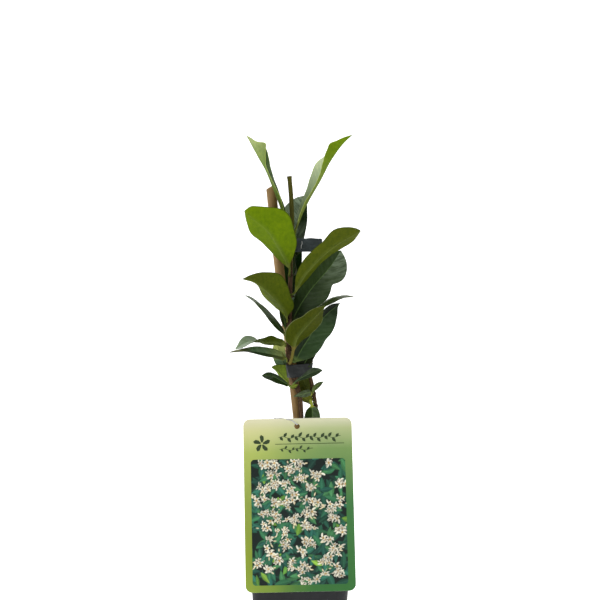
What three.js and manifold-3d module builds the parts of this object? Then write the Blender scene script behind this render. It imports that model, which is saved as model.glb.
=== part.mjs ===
// A young star jasmine (Trachelospermum jasminoides) in its square nursery pot: two twining shoots tied to
// a bamboo cane with two stapled bands of plant tape, leathery leaves, and a plastic label on a wire loop.
// Millimetres, +Z up, -Y is the front. The origin is the middle of the pot's base, on the ground.
import * as THREE from "three";
import { mergeVertices } from "three/addons/utils/BufferGeometryUtils.js";
import Module from "manifold-3d";

const wasm = await Module();
wasm.setup();

// ---- driving dimensions ----

const gap = 0.3; // between pieces that touch

const potHeight = 100;
const potRimWidth = 88; // over the rolled rim
const potRimDepth = 8;
const potNeckWidth = 84; // the wall just under the rim
const potBaseWidth = 71;
const potFootWidth = 68; // the flat face it stands on
const potWall = 1.2;
const potFloor = 1.6;
const potCorner = 8;
const potEdge = 1.5; // height of the slope at the foot and at the rim's edges
const drainHoleRadius = 4; // at the corners
const drainSideHoleRadius = 2.6; // between them
const drainHoleReach = 22; // from the middle, along X and Y

const soilTop = 89;
const soilEdge = 1; // how much lower it meets the wall
const soilCrown = 1.6; // how much higher it lies at the middle
const soilShoulder = 8; // width over which it levels out from the wall

const caneRadius = 3.9;
const caneFoot = new THREE.Vector3(20.7, -5.4, 8);
const caneHead = new THREE.Vector3(-24.2, 4.5, 400.4);
const canePithRadius = 1.5;
const canePithDepth = 16;
const caneSides = 14;
const caneKnotRise = 0.35;
const caneKnotReach = 0.01; // half the length of a knot, as a share of the cane
const caneKnots = [0.08, 0.35, 0.575, 0.83]; // where its knots are, as a share of its length

const stemSides = 8;
const nodeReach = 0.008; // half the length of the swelling at a node, as a share of the stem
const nodeRise = 0.3;

const tapeThickness = 0.5;
const flagThickness = 2 * tapeThickness;
const flagCorner = 1.4;
const tieSlack = 0.25; // for the slope of cane and shoots across a band
const tieUpper = { z: 351.6, height: 11.6, flagEnd: 18.8, flagBack: 0.4, stapleX: 1.4 };
const tieLower = { z: 245.2, height: 11, tailX: 3, tailStart: 4.9, tailLength: 8.5, stapleAlong: 5.1 };
const stapleWire = 0.5;
const stapleSpan = 5.6;
const stapleEnd = 2; // length of a bent-in end

const labelWidth = 89.6;
const labelLength = 142.6;
const labelThickness = 0.6;
const labelCorner = 5.5;
const labelHoleRadius = 2.4;
const labelHoleDown = 6.6; // from the top edge to the middle of the hole
const labelHoleX = -2.5;
const labelTop = 206.1;
const labelLean = THREE.MathUtils.degToRad(10.7); // off upright, the foot further forward
const labelTurn = THREE.MathUtils.degToRad(1.2); // its right side higher

const wireRadius = 0.4;
const wireSteps = 52;

const leafThickness = 0.7;
const leafRidge = 0.45; // how far the midrib stands out under the base of a blade
const leafPoint = 0.25; // half-width left at the tip
const stalkRadius = 0.85;
const stalkShare = 0.12; // of the blade's half-width, on small leaves
const stalkGap = 0.38; // from a stalk to its stem
const stalkRings = [0, 0.35, 0.7]; // the sections of a stalk, as shares of its length
const stalkBend = 0.4; // how strongly a stalk keeps the way it leaves and the way the blade runs
const stalkEases = 0.15; // share of the blade over which the stalk flattens into it
const smallLeaf = 6; // up to this half-width a blade has fewer sections
const bladeSteps = 9;
const smallBladeSteps = 6;

// ---- geometry helpers ----

const vector = (p) => new THREE.Vector3(p[0], p[1], p[2]);

function signedVolume(points, faces) {
  const cross = new THREE.Vector3();
  let six = 0;
  for (let i = 0; i < faces.length; i += 3) {
    cross.crossVectors(points[faces[i + 1]], points[faces[i + 2]]);
    six += points[faces[i]].dot(cross);
  }
  return six / 6;
}

// A closed body through rings of equally many points. Its ends are capped, unless the rings form a loop.
function loft(rings, isLoop = false) {
  const count = rings[0].length;
  const points = rings.flat();
  const faces = [];
  const spans = isLoop ? rings.length : rings.length - 1;
  for (let i = 0; i < spans; i++) {
    const next = (i + 1) % rings.length;
    for (let j = 0; j < count; j++) {
      const k = (j + 1) % count;
      faces.push(i * count + j, i * count + k, next * count + k);
      faces.push(i * count + j, next * count + k, next * count + j);
    }
  }
  if (!isLoop) {
    for (const [ring, flip] of [[0, true], [rings.length - 1, false]]) {
      const middle = new THREE.Vector3();
      rings[ring].forEach((p) => middle.add(p));
      points.push(middle.divideScalar(count));
      for (let j = 0; j < count; j++) {
        const a = ring * count + j;
        const b = ring * count + ((j + 1) % count);
        faces.push(points.length - 1, flip ? b : a, flip ? a : b);
      }
    }
  }
  if (signedVolume(points, faces) < 0) faces.reverse();
  const geometry = new THREE.BufferGeometry().setFromPoints(points);
  geometry.setIndex(faces);
  return geometry;
}

// A round tube along a curve, with a ring at each share of its length. radius is a number or depends on the
// share. A closed curve gives a closed loop of tube.
function tube(curve, radius, sides, shares, isLoop = false) {
  const across = new THREE.Vector3(0, -1, 0);
  const rings = shares.map((share) => {
    const centre = curve.getPointAt(share);
    const run = curve.getTangentAt(share);
    across.addScaledVector(run, -across.dot(run)).normalize();
    const other = new THREE.Vector3().crossVectors(run, across);
    const r = typeof radius === "function" ? radius(share) : radius;
    return Array.from({ length: sides }, (_, j) => {
      const angle = (2 * Math.PI * j) / sides;
      return centre.clone()
        .addScaledVector(across, r * Math.cos(angle))
        .addScaledVector(other, r * Math.sin(angle));
    });
  });
  return loft(rings, isLoop);
}

const evenShares = (steps) => Array.from({ length: steps + 1 }, (_, i) => i / steps);

// A square ring with rounded corners, at height z.
function squareRing(width, corner, z, perCorner = 4) {
  const ring = [];
  const reach = width / 2 - corner;
  for (let q = 0; q < 4; q++) {
    const middle = (Math.PI / 2) * q + Math.PI / 4;
    const cx = reach * Math.sign(Math.cos(middle));
    const cy = reach * Math.sign(Math.sin(middle));
    for (let k = 0; k <= perCorner; k++) {
      const angle = (Math.PI / 2) * (q + k / perCorner);
      ring.push(new THREE.Vector3(cx + corner * Math.cos(angle), cy + corner * Math.sin(angle), z));
    }
  }
  return ring;
}

function toSolid(geometry) {
  const bare = new THREE.BufferGeometry();
  bare.setAttribute("position", geometry.getAttribute("position").clone());
  bare.setIndex(geometry.index);
  const merged = mergeVertices(bare, 1e-4);
  return new wasm.Manifold(
    new wasm.Mesh({
      numProp: 3,
      vertProperties: merged.attributes.position.array,
      triVerts: new Uint32Array(merged.index.array),
    })
  );
}

function toGeometry(solid) {
  const mesh = solid.getMesh();
  const geometry = new THREE.BufferGeometry();
  geometry.setAttribute("position", new THREE.BufferAttribute(new Float32Array(mesh.vertProperties), 3));
  geometry.setIndex(new THREE.BufferAttribute(new Uint32Array(mesh.triVerts), 1));
  return geometry;
}

// ---- stems and cane ----

const caneLine = new THREE.LineCurve3(caneFoot, caneHead);
const caneAt = (z) =>
  caneFoot.clone().lerp(caneHead, (z - caneFoot.z) / (caneHead.z - caneFoot.z));

// A round bar with a slight swelling at each knot and an open pith at its head.
function cane() {
  const shares = [0, 1];
  for (const knot of caneKnots) {
    for (const step of [-1, -0.4, 0, 0.4, 1]) shares.push(knot + step * caneKnotReach);
  }
  shares.sort((a, b) => a - b);
  const radiusAt = (share) => caneRadius + (caneKnots.includes(share) ? caneKnotRise : 0);
  const run = caneLine.getTangent(0);
  const pith = new THREE.LineCurve3(
    caneHead.clone().addScaledVector(run, -canePithDepth),
    caneHead.clone().addScaledVector(run, 1)
  );
  const outside = toSolid(tube(caneLine, radiusAt, caneSides, shares));
  return toGeometry(outside.subtract(toSolid(tube(pith, canePithRadius, caneSides, [0, 1]))));
}

// Each stem is a smooth curve through points, thinner towards its end, and a little thicker at its nodes.
const stems = {
  main: {
    points: [
      [5, -8.5, 70], [5.2, -8.6, 95], [5.6, -8.9, 140], [3.2, -7.9, 175], [1.1, -6.5, 205.5],
      [-0.5, -5.9, 222], [-3.2, -6.8, 232], [-6.4, -7, 240], [-8.8, -6.8, 250], [-9.9, -6.4, 258],
      [-9.7, -6, 270], [-8.8, -5.4, 290], [-8.2, -5, 317], [-7.7, -4, 340], [-6.8, -3.2, 358],
      [-6.9, -3.2, 378], [-7.6, -3.4, 393], [-9, -3.6, 409.8],
    ],
    radius: [2.4, 1.75],
    nodes: [231, 254, 266, 277.5, 290, 309, 326, 360],
    steps: 40,
  },
  second: {
    points: [
      [24.5, 4.5, 70], [23.6, 4, 95], [21, 3, 130], [17.6, 1.8, 172], [14.3, 0.8, 205.5], [12.5, 0.8, 220],
      [10.2, 1.4, 233], [7.8, 2.4, 245], [9.2, 4.6, 254], [9.4, 8, 264], [6.4, 10.6, 281], [2, 12, 300],
    ],
    radius: [2.3, 1.3],
    nodes: [215, 225.5, 229, 253, 273, 284, 297],
    steps: 26,
  },
};

// The share of a stem's length at which it passes a height. A stem only rises, so halving finds it.
function shareAt(stem, z) {
  let low = 0;
  let high = 1;
  for (let i = 0; i < 30; i++) {
    const middle = (low + high) / 2;
    if (stem.curve.getPointAt(middle).z < z) low = middle;
    else high = middle;
  }
  return (low + high) / 2;
}

for (const stem of Object.values(stems)) {
  stem.curve = new THREE.CatmullRomCurve3(stem.points.map(vector), false, "centripetal");
  stem.curve.arcLengthDivisions = 400;
  stem.nodeShares = stem.nodes.map((z) => shareAt(stem, z));
}

function stemRadius(stem, share) {
  const nearest = Math.min(...stem.nodeShares.map((node) => Math.abs(node - share)));
  const plain = THREE.MathUtils.lerp(stem.radius[0], stem.radius[1], share);
  return plain + nodeRise * (1 - THREE.MathUtils.smoothstep(nearest, 0, nodeReach));
}

function stemTube(stem, extra = 0) {
  const shares = evenShares(stem.steps).filter((share) =>
    stem.nodeShares.every((node) => Math.abs(node - share) > 2 * nodeReach));
  for (const node of stem.nodeShares) shares.push(node - nodeReach, node, node + nodeReach);
  shares.sort((a, b) => a - b);
  return tube(stem.curve, (share) => stemRadius(stem, share) + extra, stemSides, shares);
}

// ---- leaves ----

// spine: points on the midrib of the blade, from its base to its tip.
// half and widest: the greatest half-width, and the share of the length at which it lies.
// ends: the powers of the outline at the base and at the tip, below 1 for a round end.
// roll: how far the upper side is turned about the midrib, in degrees, from the base to the tip. 0 looks to
// the front (up, on a leaf marked flat), 90 to the right of a leaf that points up, and 180 to the back.
// fold: how far each half rises from the midrib, in degrees.
// at and out: the height at which the stalk leaves the stem, and its way in degrees from +X towards +Y.
const plainLeaf = { ends: [1, 0.8], flat: false };
const leaves = {
  leaf_top_left: {
    stem: "main", at: 360.5, out: -160, half: 13, widest: 0.74, ends: [1.5, 0.7], fold: 22,
    roll: [82, 84, 90, 104],
    spine: [[-10.6, -7, 365.5], [-12.3, -8, 377.7], [-16.2, -9, 386.9], [-22.6, -10, 400.4],
      [-28.5, -11, 414.2], [-35.9, -12, 427.2], [-44.8, -13, 443.3]],
  },
  leaf_top_right: {
    stem: "main", at: 359.5, out: -50, half: 12.5, widest: 0.64, ends: [1.4, 0.75], fold: 28,
    roll: [-85, -78, -80, -120],
    spine: [[-3.4, -6.4, 365.4], [2.5, -8, 380.2], [8, -9, 390.8], [16.9, -11, 406], [25.7, -13, 422.5],
      [35.8, -14, 436.3], [43.6, -15, 443.7]],
  },
  leaf_back_upper: {
    stem: "main", at: 326, out: 40, half: 13, widest: 0.68, ends: [1, 0.6], roll: [-24, -24], fold: 32,
    spine: [[-5.1, 9, 342.6], [-3, 12, 359.9], [-0.4, 14, 378], [2.9, 14, 394.5]],
  },
  leaf_back_middle: {
    stem: "main", at: 290.5, out: 60, half: 9, widest: 0.5, roll: [-6, -10], fold: 16,
    spine: [[-8.1, 7, 305], [-6.4, 12, 318.7], [-5.2, 17, 334.3], [-3.9, 20, 349.8], [-1.7, 20, 367.1]],
  },
  leaf_left_large: {
    stem: "main", at: 325.5, out: -110, half: 21, widest: 0.58, ends: [0.95, 0.68],
    roll: [142, 142], fold: 21,
    spine: [[-8.9, -9, 332], [-13.5, -13, 341.2], [-19.7, -17, 352.4], [-26.8, -19, 362.9], [-36, -21, 370.6],
      [-46.1, -22, 379.2]],
  },
  leaf_right_large: {
    stem: "main", at: 309.5, out: -60, half: 12.8, widest: 0.64, ends: [0.75, 0.7],
    roll: [232, 232], fold: 12,
    spine: [[-4, -9, 311.8], [3.4, -14, 324.8], [15.1, -17, 338.2], [28.5, -18, 349.9], [40.3, -17, 357.3],
      [51, -15, 363.3]],
  },
  leaf_right_dark: {
    stem: "main", at: 289.5, out: -20, half: 16.5, widest: 0.62, ends: [0.7, 0.6], roll: [-13, -13], fold: 10,
    spine: [[-5.1, -4.2, 290.6], [1.3, -5, 302.2], [9.3, -4, 313.9], [17.6, -2, 323.7], [25.9, 1, 333.5],
      [35, 5, 347.2]],
  },
  leaf_left_mid: {
    stem: "main", at: 289.5, out: -140, half: 18.5, widest: 0.46, ends: [0.85, 1], roll: [135, 135], fold: 29,
    spine: [[-12, -10.4, 294.4], [-18, -14, 302.5], [-26.9, -17, 311.7], [-36.4, -18, 319.2],
      [-42.8, -18, 321.8], [-48.3, -17, 322.7]],
  },
  leaf_left_narrow: {
    stem: "main", at: 277.5, out: -150, half: 8.5, widest: 0.5, roll: [70, 70], fold: 10,
    spine: [[-13.9, -9, 279.7], [-21.9, -12, 288.4], [-29.9, -14, 296.4], [-37.8, -15, 304],
      [-45.9, -16, 308.9]],
  },
  leaf_right_thin: {
    stem: "second", at: 284, out: -20, half: 8, widest: 0.5, roll: [-80, -80], fold: 8,
    spine: [[7.4, 10.4, 289], [12.5, 12, 297], [18.5, 13, 301.3], [27.5, 14, 306.2], [36.9, 13, 308.3],
      [46.4, 11, 307.7]],
  },
  leaf_right_front: {
    stem: "main", at: 255, out: -80, half: 12.8, widest: 0.45, ends: [0.8, 0.65], roll: [222, 222], fold: 18,
    spine: [[-5.2, -14.6, 265.4], [-3.1, -18, 272.3], [1.3, -21, 278.8], [9.9, -23.6, 288.3],
      [21.1, -24.4, 300.3]],
  },
  leaf_right_low: {
    stem: "main", at: 253.5, out: -20, half: 13.5, widest: 0.58, ends: [0.85, 0.7], roll: [22, 22], fold: 24,
    spine: [[-4.2, -5, 252.8], [1.3, -5, 263.2], [7, -4.2, 272], [14.3, -2.4, 283.4], [23, 0.4, 293.1],
      [34.1, 3, 302.3]],
  },
  leaf_back_low: {
    stem: "second", at: 252, out: -90, half: 7, widest: 0.45, ends: [0.55, 0.8], roll: [0, 0], fold: 10,
    spine: [[6.5, 1.5, 254.8], [8.4, 2, 257.6], [12.2, 2.6, 265], [16.5, 4.4, 276]],
  },
  leaf_left_twisted: {
    stem: "main", at: 266, out: -160, half: 8, widest: 0.62, fold: 12, roll: [128, 124, 98, 42, 25],
    spine: [[-14, -7.4, 268.5], [-24, -9, 269.8], [-35, -11, 270.9], [-44.8, -9, 269.8], [-54.8, -6, 263.4]],
  },
  leaf_left_long: {
    stem: "main", at: 253, out: -125, half: 7, widest: 0.4, ends: [0.8, 0.9], fold: 15,
    roll: [55, 55, 74, 112],
    spine: [[-12, -10, 256], [-22.9, -13, 259], [-35.3, -16, 261.2], [-47.9, -18, 262.2],
      [-58.9, -19, 261.2]],
  },
  leaf_back_left: {
    stem: "second", at: 222.5, out: 105, half: 8, widest: 0.6, ends: [1.2, 0.8], roll: [160, 160], fold: 10,
    spine: [[-3, 10.5, 234.5], [-9.5, 11, 242], [-14.5, 11.5, 252], [-18, 11.5, 261], [-21, 11, 270]],
  },
  leaf_left_inner: {
    stem: "main", at: 274, out: 175, half: 3.1, widest: 0.45, roll: [0, 0], fold: 10,
    spine: [[-12.6, -4.4, 280.5], [-13.3, -3.8, 287], [-14.6, -3.8, 294], [-17, -4.5, 303.5]],
  },
  leaf_left_small: {
    stem: "main", at: 230.5, out: -178, half: 7.5, widest: 0.5, ends: [0.8, 0.8], roll: [160, 160], fold: 15,
    spine: [[-12.4, 2.4, 236], [-15.2, 5.6, 239.5], [-19, 8, 244], [-24.3, 8, 247.9]],
  },
  leaf_left_low: {
    stem: "main", at: 231.5, out: -120, half: 6, widest: 0.62, ends: [1, 0.6], roll: [50, 50], fold: 12,
    spine: [[-10.6, -10, 233.6], [-16.5, -11.5, 237.1], [-23.6, -13, 240.7], [-32.2, -14, 241.4]],
  },
  leaf_right_small: {
    stem: "main", at: 233, out: -65, half: 5.5, widest: 0.6, roll: [-50, -50], fold: 12,
    spine: [[-1.5, -11, 234.8], [2.4, -11.5, 238], [7.6, -13, 242.7], [13.5, -14, 245.1], [19, -14, 245.7]],
  },
  leaf_shoot_right: {
    stem: "second", at: 226.5, out: -85, half: 3.4, widest: 0.55, roll: [-50, -50], fold: 12,
    spine: [[11.6, -3.2, 226.8], [12.9, -5, 231.4], [15.7, -6, 234.1], [19.7, -7, 235.6]],
  },
  leaf_shoot_left: {
    stem: "second", at: 225, out: -110, half: 4, widest: 0.5, roll: [50, 50], fold: 12,
    spine: [[8, -6, 225.6], [4.2, -10, 226.2], [-0.8, -12, 225.4], [-5.6, -13, 223.7]],
  },
  leaf_shoot_back: {
    stem: "second", at: 226, out: 110, half: 6, widest: 0.55, ends: [0.7, 0.5], roll: [180, 180], fold: 10,
    spine: [[10, 4.2, 227], [7.9, 4.8, 231], [6, 5.2, 235], [4.4, 5.6, 239]],
  },
  leaf_shoot_low: {
    stem: "second", at: 218.5, out: -110, half: 4.4, widest: 0.45, roll: [150, 150], fold: 12,
    spine: [[8.9, -3, 216.8], [7, -4.8, 219.6], [4.5, -6.4, 221.9], [1.9, -7.4, 223.6]],
  },
  leaf_hanging: {
    stem: "second", at: 221.5, out: -80, half: 7, widest: 0.45, roll: [0, 0], fold: 12,
    spine: [[10, -7, 215.4], [10.5, -10, 210.5], [10.1, -12, 203], [7.6, -12, 188.7]],
  },
  leaf_bud: {
    stem: "main", at: 227.3, out: -95, half: 2.6, widest: 0.5, roll: [-40, -40], fold: 20,
    spine: [[-5.6, -10.7, 229.9], [-3.4, -11.5, 230.4], [-0.8, -11.9, 231.9]],
  },
  leaf_rear_upper: {
    stem: "main", at: 308, out: 20, half: 15, widest: 0.5, flat: true, roll: [10, 10], fold: 16,
    spine: [[2, 6, 311], [8, 17, 319], [14, 32, 327], [20, 48, 325]],
  },
  leaf_rear_left: {
    stem: "second", at: 297.5, out: 130, half: 15, widest: 0.5, flat: true, roll: [-10, -10], fold: 18,
    spine: [[-3, 16, 300], [-9, 24, 306], [-18, 36, 312], [-27, 50, 312]],
  },
  leaf_rear_right: {
    stem: "second", at: 296.5, out: 20, half: 14, widest: 0.5, flat: true, roll: [10, 10], fold: 18,
    spine: [[5.5, 15, 301], [12, 24, 311], [19, 36, 319], [26, 48, 322]],
  },
  leaf_rear_middle: {
    stem: "second", at: 273, out: 110, half: 13, widest: 0.5, flat: true, roll: [-6, -6], fold: 18,
    spine: [[2, 16, 275], [-1, 26, 279], [-6, 38, 280], [-10, 50, 274]],
  },
  leaf_rear_low: {
    stem: "second", at: 264, out: 60, half: 10, widest: 0.5, flat: true, roll: [0, 0], fold: 18,
    spine: [[9, 14, 266], [8.6, 23, 269], [7, 33, 268], [4.5, 43, 262]],
  },
};

// Half-width of a blade as a share of its widest, from base (0) to tip (1).
function outline(share, widest, basePower, tipPower) {
  const bulge = Math.sin(Math.PI * share ** (Math.log(0.5) / Math.log(widest)));
  return Math.max(bulge, 0) ** (share < widest ? basePower : tipPower);
}

const acrossStops = [-0.5, 0, 0.5]; // between a section's two edges, as shares of its half-width
const front = new THREE.Vector3(0, -1, 0);
const skyward = new THREE.Vector3(0, 0, 1);

// The direction in which a blade's upper side looks, from the way it runs and its roll.
function upperSide(along, roll, isFlat) {
  const reference = isFlat ? skyward : front;
  const level = reference.clone().addScaledVector(along, -reference.dot(along)).normalize();
  const right = new THREE.Vector3().crossVectors(along, level);
  const angle = THREE.MathUtils.degToRad(roll);
  return level.multiplyScalar(Math.cos(angle)).addScaledVector(right, Math.sin(angle));
}

// One closed section of a leaf: one edge, its upper points, the other edge, and its lower points.
function leafSection({ centre, along, normal, half, fold, thick, ridge }) {
  const side = new THREE.Vector3().crossVectors(along, normal);
  const place = (s, level) =>
    centre.clone()
      .addScaledVector(side, half * s * Math.cos(fold))
      .addScaledVector(normal, half * Math.abs(s) * Math.sin(fold) + level);
  const swell = (s) => (thick / 2) * Math.sqrt(1 - s * s);
  const upper = acrossStops.map((s) => place(s, swell(s)));
  const lower = acrossStops.map((s) => place(s, -swell(s) - (s === 0 ? ridge : 0)));
  return [place(-1, 0), ...upper, place(1, 0), ...lower.reverse()];
}

// A value between those of a list that is spread evenly over 0 to 1.
function between(list, share) {
  const place = Math.min(share * (list.length - 1), list.length - 1.001);
  const i = Math.floor(place);
  return THREE.MathUtils.lerp(list[i], list[i + 1], place - i);
}

function leaf(name) {
  const { stem, at, out, spine, half, widest, ends, roll, fold, flat } = { ...plainLeaf, ...leaves[name] };
  const holder = stems[stem];
  const share = shareAt(holder, at);
  const direction = new THREE.Vector3(1, 0, 0)
    .applyAxisAngle(skyward, THREE.MathUtils.degToRad(out));
  const stalk = Math.min(stalkRadius, half * stalkShare);
  const start = holder.curve.getPointAt(share)
    .addScaledVector(direction, stemRadius(holder, share) + stalkGap);
  const blade = new THREE.CatmullRomCurve3(spine.map(vector), false, "centripetal");
  const base = vector(spine[0]);
  const bend = stalkBend * start.distanceTo(base);
  const stalkLine = new THREE.CubicBezierCurve3(
    start,
    start.clone().addScaledVector(direction, bend),
    base.clone().addScaledVector(blade.getTangent(0), -bend),
    base
  );
  const rings = [];
  for (const u of stalkRings) {
    const run = stalkLine.getTangent(u);
    rings.push(leafSection({
      centre: stalkLine.getPoint(u), along: run, normal: upperSide(run, roll[0], flat),
      half: stalk, fold: 0, thick: 2 * stalk, ridge: 0,
    }));
  }
  const steps = half > smallLeaf ? bladeSteps : smallBladeSteps;
  for (let i = 0; i <= steps; i++) {
    const u = i / steps;
    const run = blade.getTangentAt(u);
    const opened = THREE.MathUtils.smoothstep(u, 0, stalkEases);
    rings.push(leafSection({
      centre: blade.getPointAt(u), along: run, normal: upperSide(run, between(roll, u), flat),
      half: Math.max(half * outline(u, widest, ends[0], ends[1]), i === 0 ? stalk : leafPoint),
      fold: THREE.MathUtils.degToRad(fold) * opened,
      thick: THREE.MathUtils.lerp(2 * stalk, leafThickness, opened),
      ridge: leafRidge * (1 - u),
    }));
  }
  return loft(rings);
}

// ---- pot and soil ----

const potNeck = potHeight - potRimDepth;
const potWidthAt = (z) => THREE.MathUtils.lerp(potBaseWidth, potNeckWidth, z / potNeck);
const potInnerCorner = potCorner - potWall;

function pot() {
  const rimCorner = potCorner + (potRimWidth - potNeckWidth) / 2;
  const outside = loft([
    squareRing(potFootWidth, potCorner - potEdge, 0),
    squareRing(potWidthAt(potEdge), potCorner, potEdge),
    squareRing(potNeckWidth, potCorner, potNeck),
    squareRing(potRimWidth, rimCorner, potNeck + potEdge),
    squareRing(potRimWidth, rimCorner, potHeight - potEdge / 2),
    squareRing(potRimWidth - potEdge, rimCorner - potEdge / 2, potHeight),
  ]);
  const inside = loft([
    squareRing(potWidthAt(potFloor) - 2 * potWall, potInnerCorner, potFloor),
    squareRing(potNeckWidth - 2 * potWall, potInnerCorner, potNeck),
    squareRing(potNeckWidth - potWall, potCorner, potHeight + potEdge),
  ]);
  let body = toSolid(outside).subtract(toSolid(inside));
  for (const x of [-1, 0, 1]) {
    for (const y of [-1, 0, 1]) {
      if (x === 0 && y === 0) continue;
      const radius = x * y === 0 ? drainSideHoleRadius : drainHoleRadius;
      const hole = new THREE.CylinderGeometry(radius, radius, 4 * potFloor, 16)
        .rotateX(Math.PI / 2)
        .translate(x * drainHoleReach, y * drainHoleReach, 0);
      body = body.subtract(toSolid(hole));
    }
  }
  return toGeometry(body);
}

// The soil fills the pot, with holes for the cane and the stems.
function soil() {
  const widthAt = (z) => potWidthAt(z) - 2 * (potWall + gap);
  let body = toSolid(loft([
    squareRing(widthAt(potFloor + gap), potInnerCorner, potFloor + gap),
    squareRing(widthAt(soilTop), potInnerCorner, soilTop - soilEdge),
    squareRing(widthAt(soilTop) - soilShoulder, potInnerCorner, soilTop + gap),
    squareRing(widthAt(soilTop) / 2, potInnerCorner, soilTop + soilCrown),
  ]));
  const below = (curve) => curve.getPointAt(0).addScaledVector(curve.getTangentAt(0), -gap);
  const caneHole = new THREE.LineCurve3(below(caneLine), caneHead);
  body = body.subtract(toSolid(tube(caneHole, caneRadius + caneKnotRise + gap, caneSides, [0, 1])));
  for (const stem of Object.values(stems)) {
    const foot = new THREE.LineCurve3(below(stem.curve), stem.curve.getPointAt(0.01));
    body = body.subtract(toSolid(stemTube(stem, gap)));
    body = body.subtract(toSolid(tube(foot, stem.radius[0] + 1.3 * gap, stemSides, [0, 1])));
  }
  return toGeometry(body);
}

// ---- tape ties and their staples ----

// The outline of a band drawn tight round several circles, as points that go once round.
function roundCircles(circles, extra, z) {
  const count = 28;
  const ring = [];
  for (let i = 0; i < count; i++) {
    const nx = Math.cos((2 * Math.PI * i) / count);
    const ny = Math.sin((2 * Math.PI * i) / count);
    const reach = ([x, y, r]) => x * nx + y * ny + r;
    const [x, y, r] = circles.reduce((far, circle) => (reach(circle) > reach(far) ? circle : far));
    ring.push(new THREE.Vector3(x + (r + extra) * nx, y + (r + extra) * ny, z));
  }
  return ring;
}

const onCane = (z) => {
  const p = caneAt(z);
  return [p.x, p.y, caneRadius];
};
const onStem = (stem, z) => {
  const share = shareAt(stem, z);
  const p = stem.curve.getPointAt(share);
  return [p.x, p.y, stemRadius(stem, share)];
};

// A closed band of tape: a loop of rings that goes up the outside and down the inside.
function band(tie, circlesAt) {
  const levels = evenShares(3).map((share) => tie.z + tie.height * (share - 0.5));
  const outer = levels.map((z) => roundCircles(circlesAt(z), gap + tieSlack + tapeThickness, z));
  const inner = levels.map((z) => roundCircles(circlesAt(z), gap + tieSlack, z)).reverse();
  return loft([...outer, ...inner], true);
}

// A flat double strip of tape in the XZ plane from x = 0, with rounded far corners, about y = z = 0.
function strip(length, height) {
  const half = height / 2;
  const far = length - flagCorner;
  const shape = new THREE.Shape();
  shape.moveTo(0, -half);
  shape.lineTo(far, -half);
  shape.absarc(far, flagCorner - half, flagCorner, -Math.PI / 2, 0);
  shape.absarc(far, half - flagCorner, flagCorner, 0, Math.PI / 2);
  shape.lineTo(0, half);
  return new THREE.ExtrudeGeometry(shape, { depth: flagThickness, bevelEnabled: false, curveSegments: 3 })
    .rotateX(Math.PI / 2)
    .translate(0, flagThickness / 2, 0);
}

// A staple through such a strip: its crown in front, its legs through the strip, its ends bent in behind.
function staple(along, extra = 0) {
  const wide = stapleWire + 2 * extra;
  const reach = stapleSpan / 2;
  const out = flagThickness / 2 + gap + stapleWire / 2;
  const bar = (dy, dz, y, z) => toSolid(new THREE.BoxGeometry(wide, dy, dz).translate(along, y, z));
  let body = bar(wide, 2 * reach + wide, -out, 0);
  for (const side of [-1, 1]) {
    body = body.add(bar(2 * out + wide, wide, 0, side * reach));
    body = body.add(bar(wide, stapleEnd, out, side * (reach - stapleEnd / 2)));
  }
  return toGeometry(body);
}

const [upperStemX, upperStemY, upperStemRadius] = onStem(stems.main, tieUpper.z);
const flagStart = upperStemX + upperStemRadius + gap + tieSlack + tapeThickness / 2;
const flagStaple = tieUpper.stapleX - flagStart;
const placeFlag = (geometry) => geometry.translate(flagStart, upperStemY - tieUpper.flagBack, tieUpper.z);
const placeTail = (geometry) =>
  geometry.rotateZ(Math.PI / 2).translate(tieLower.tailX, tieLower.tailStart, tieLower.z);

// A band with the strip that its two ends make, and room in the strip for the staple.
function tie(loop, tail, stapleHole) {
  return toGeometry(toSolid(loop).add(toSolid(tail)).subtract(toSolid(stapleHole)));
}

function upperTie() {
  const loop = band(tieUpper, (z) => [onCane(z), onStem(stems.main, z)]);
  const flag = strip(tieUpper.flagEnd - flagStart, tieUpper.height - gap);
  return tie(loop, placeFlag(flag), placeFlag(staple(flagStaple, gap)));
}

function lowerTie() {
  const loop = band(tieLower, (z) => [onCane(z), onStem(stems.main, z), onStem(stems.second, z)]);
  const tail = strip(tieLower.tailLength, tieLower.height - gap);
  return tie(loop, placeTail(tail), placeTail(staple(tieLower.stapleAlong, gap)));
}

// ---- label and wire ----

function label() {
  const r = labelCorner;
  const side = labelWidth / 2;
  const top = labelHoleDown;
  const bottom = labelHoleDown - labelLength;
  const shape = new THREE.Shape();
  shape.moveTo(r - side, bottom);
  shape.absarc(side - r, bottom + r, r, -Math.PI / 2, 0);
  shape.absarc(side - r, top - r, r, 0, Math.PI / 2);
  shape.absarc(r - side, top - r, r, Math.PI / 2, Math.PI);
  shape.absarc(r - side, bottom + r, r, Math.PI, 1.5 * Math.PI);
  const hole = new THREE.Path();
  hole.absarc(0, 0, labelHoleRadius, 0, 2 * Math.PI, true);
  shape.holes.push(hole);
  return new THREE.ExtrudeGeometry(shape, { depth: labelThickness, bevelEnabled: false, curveSegments: 6 })
    .translate(0, 0, -labelThickness / 2);
}

// The label's own frame: x to its right, y up its face and z out of its face, from the middle of its hole. It
// leans on the front of the pot's rim.
function labelFrame() {
  const leanOn = -potRimWidth / 2 - gap - labelThickness / 2;
  const topY = leanOn + (labelTop - potHeight) * Math.tan(labelLean);
  const frame = new THREE.Group();
  frame.position.set(
    labelHoleX,
    topY - labelHoleDown * Math.sin(labelLean),
    labelTop - labelHoleDown * Math.cos(labelLean)
  );
  frame.rotateX(Math.PI / 2 - labelLean);
  frame.rotateZ(labelTurn);
  return frame;
}

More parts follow.
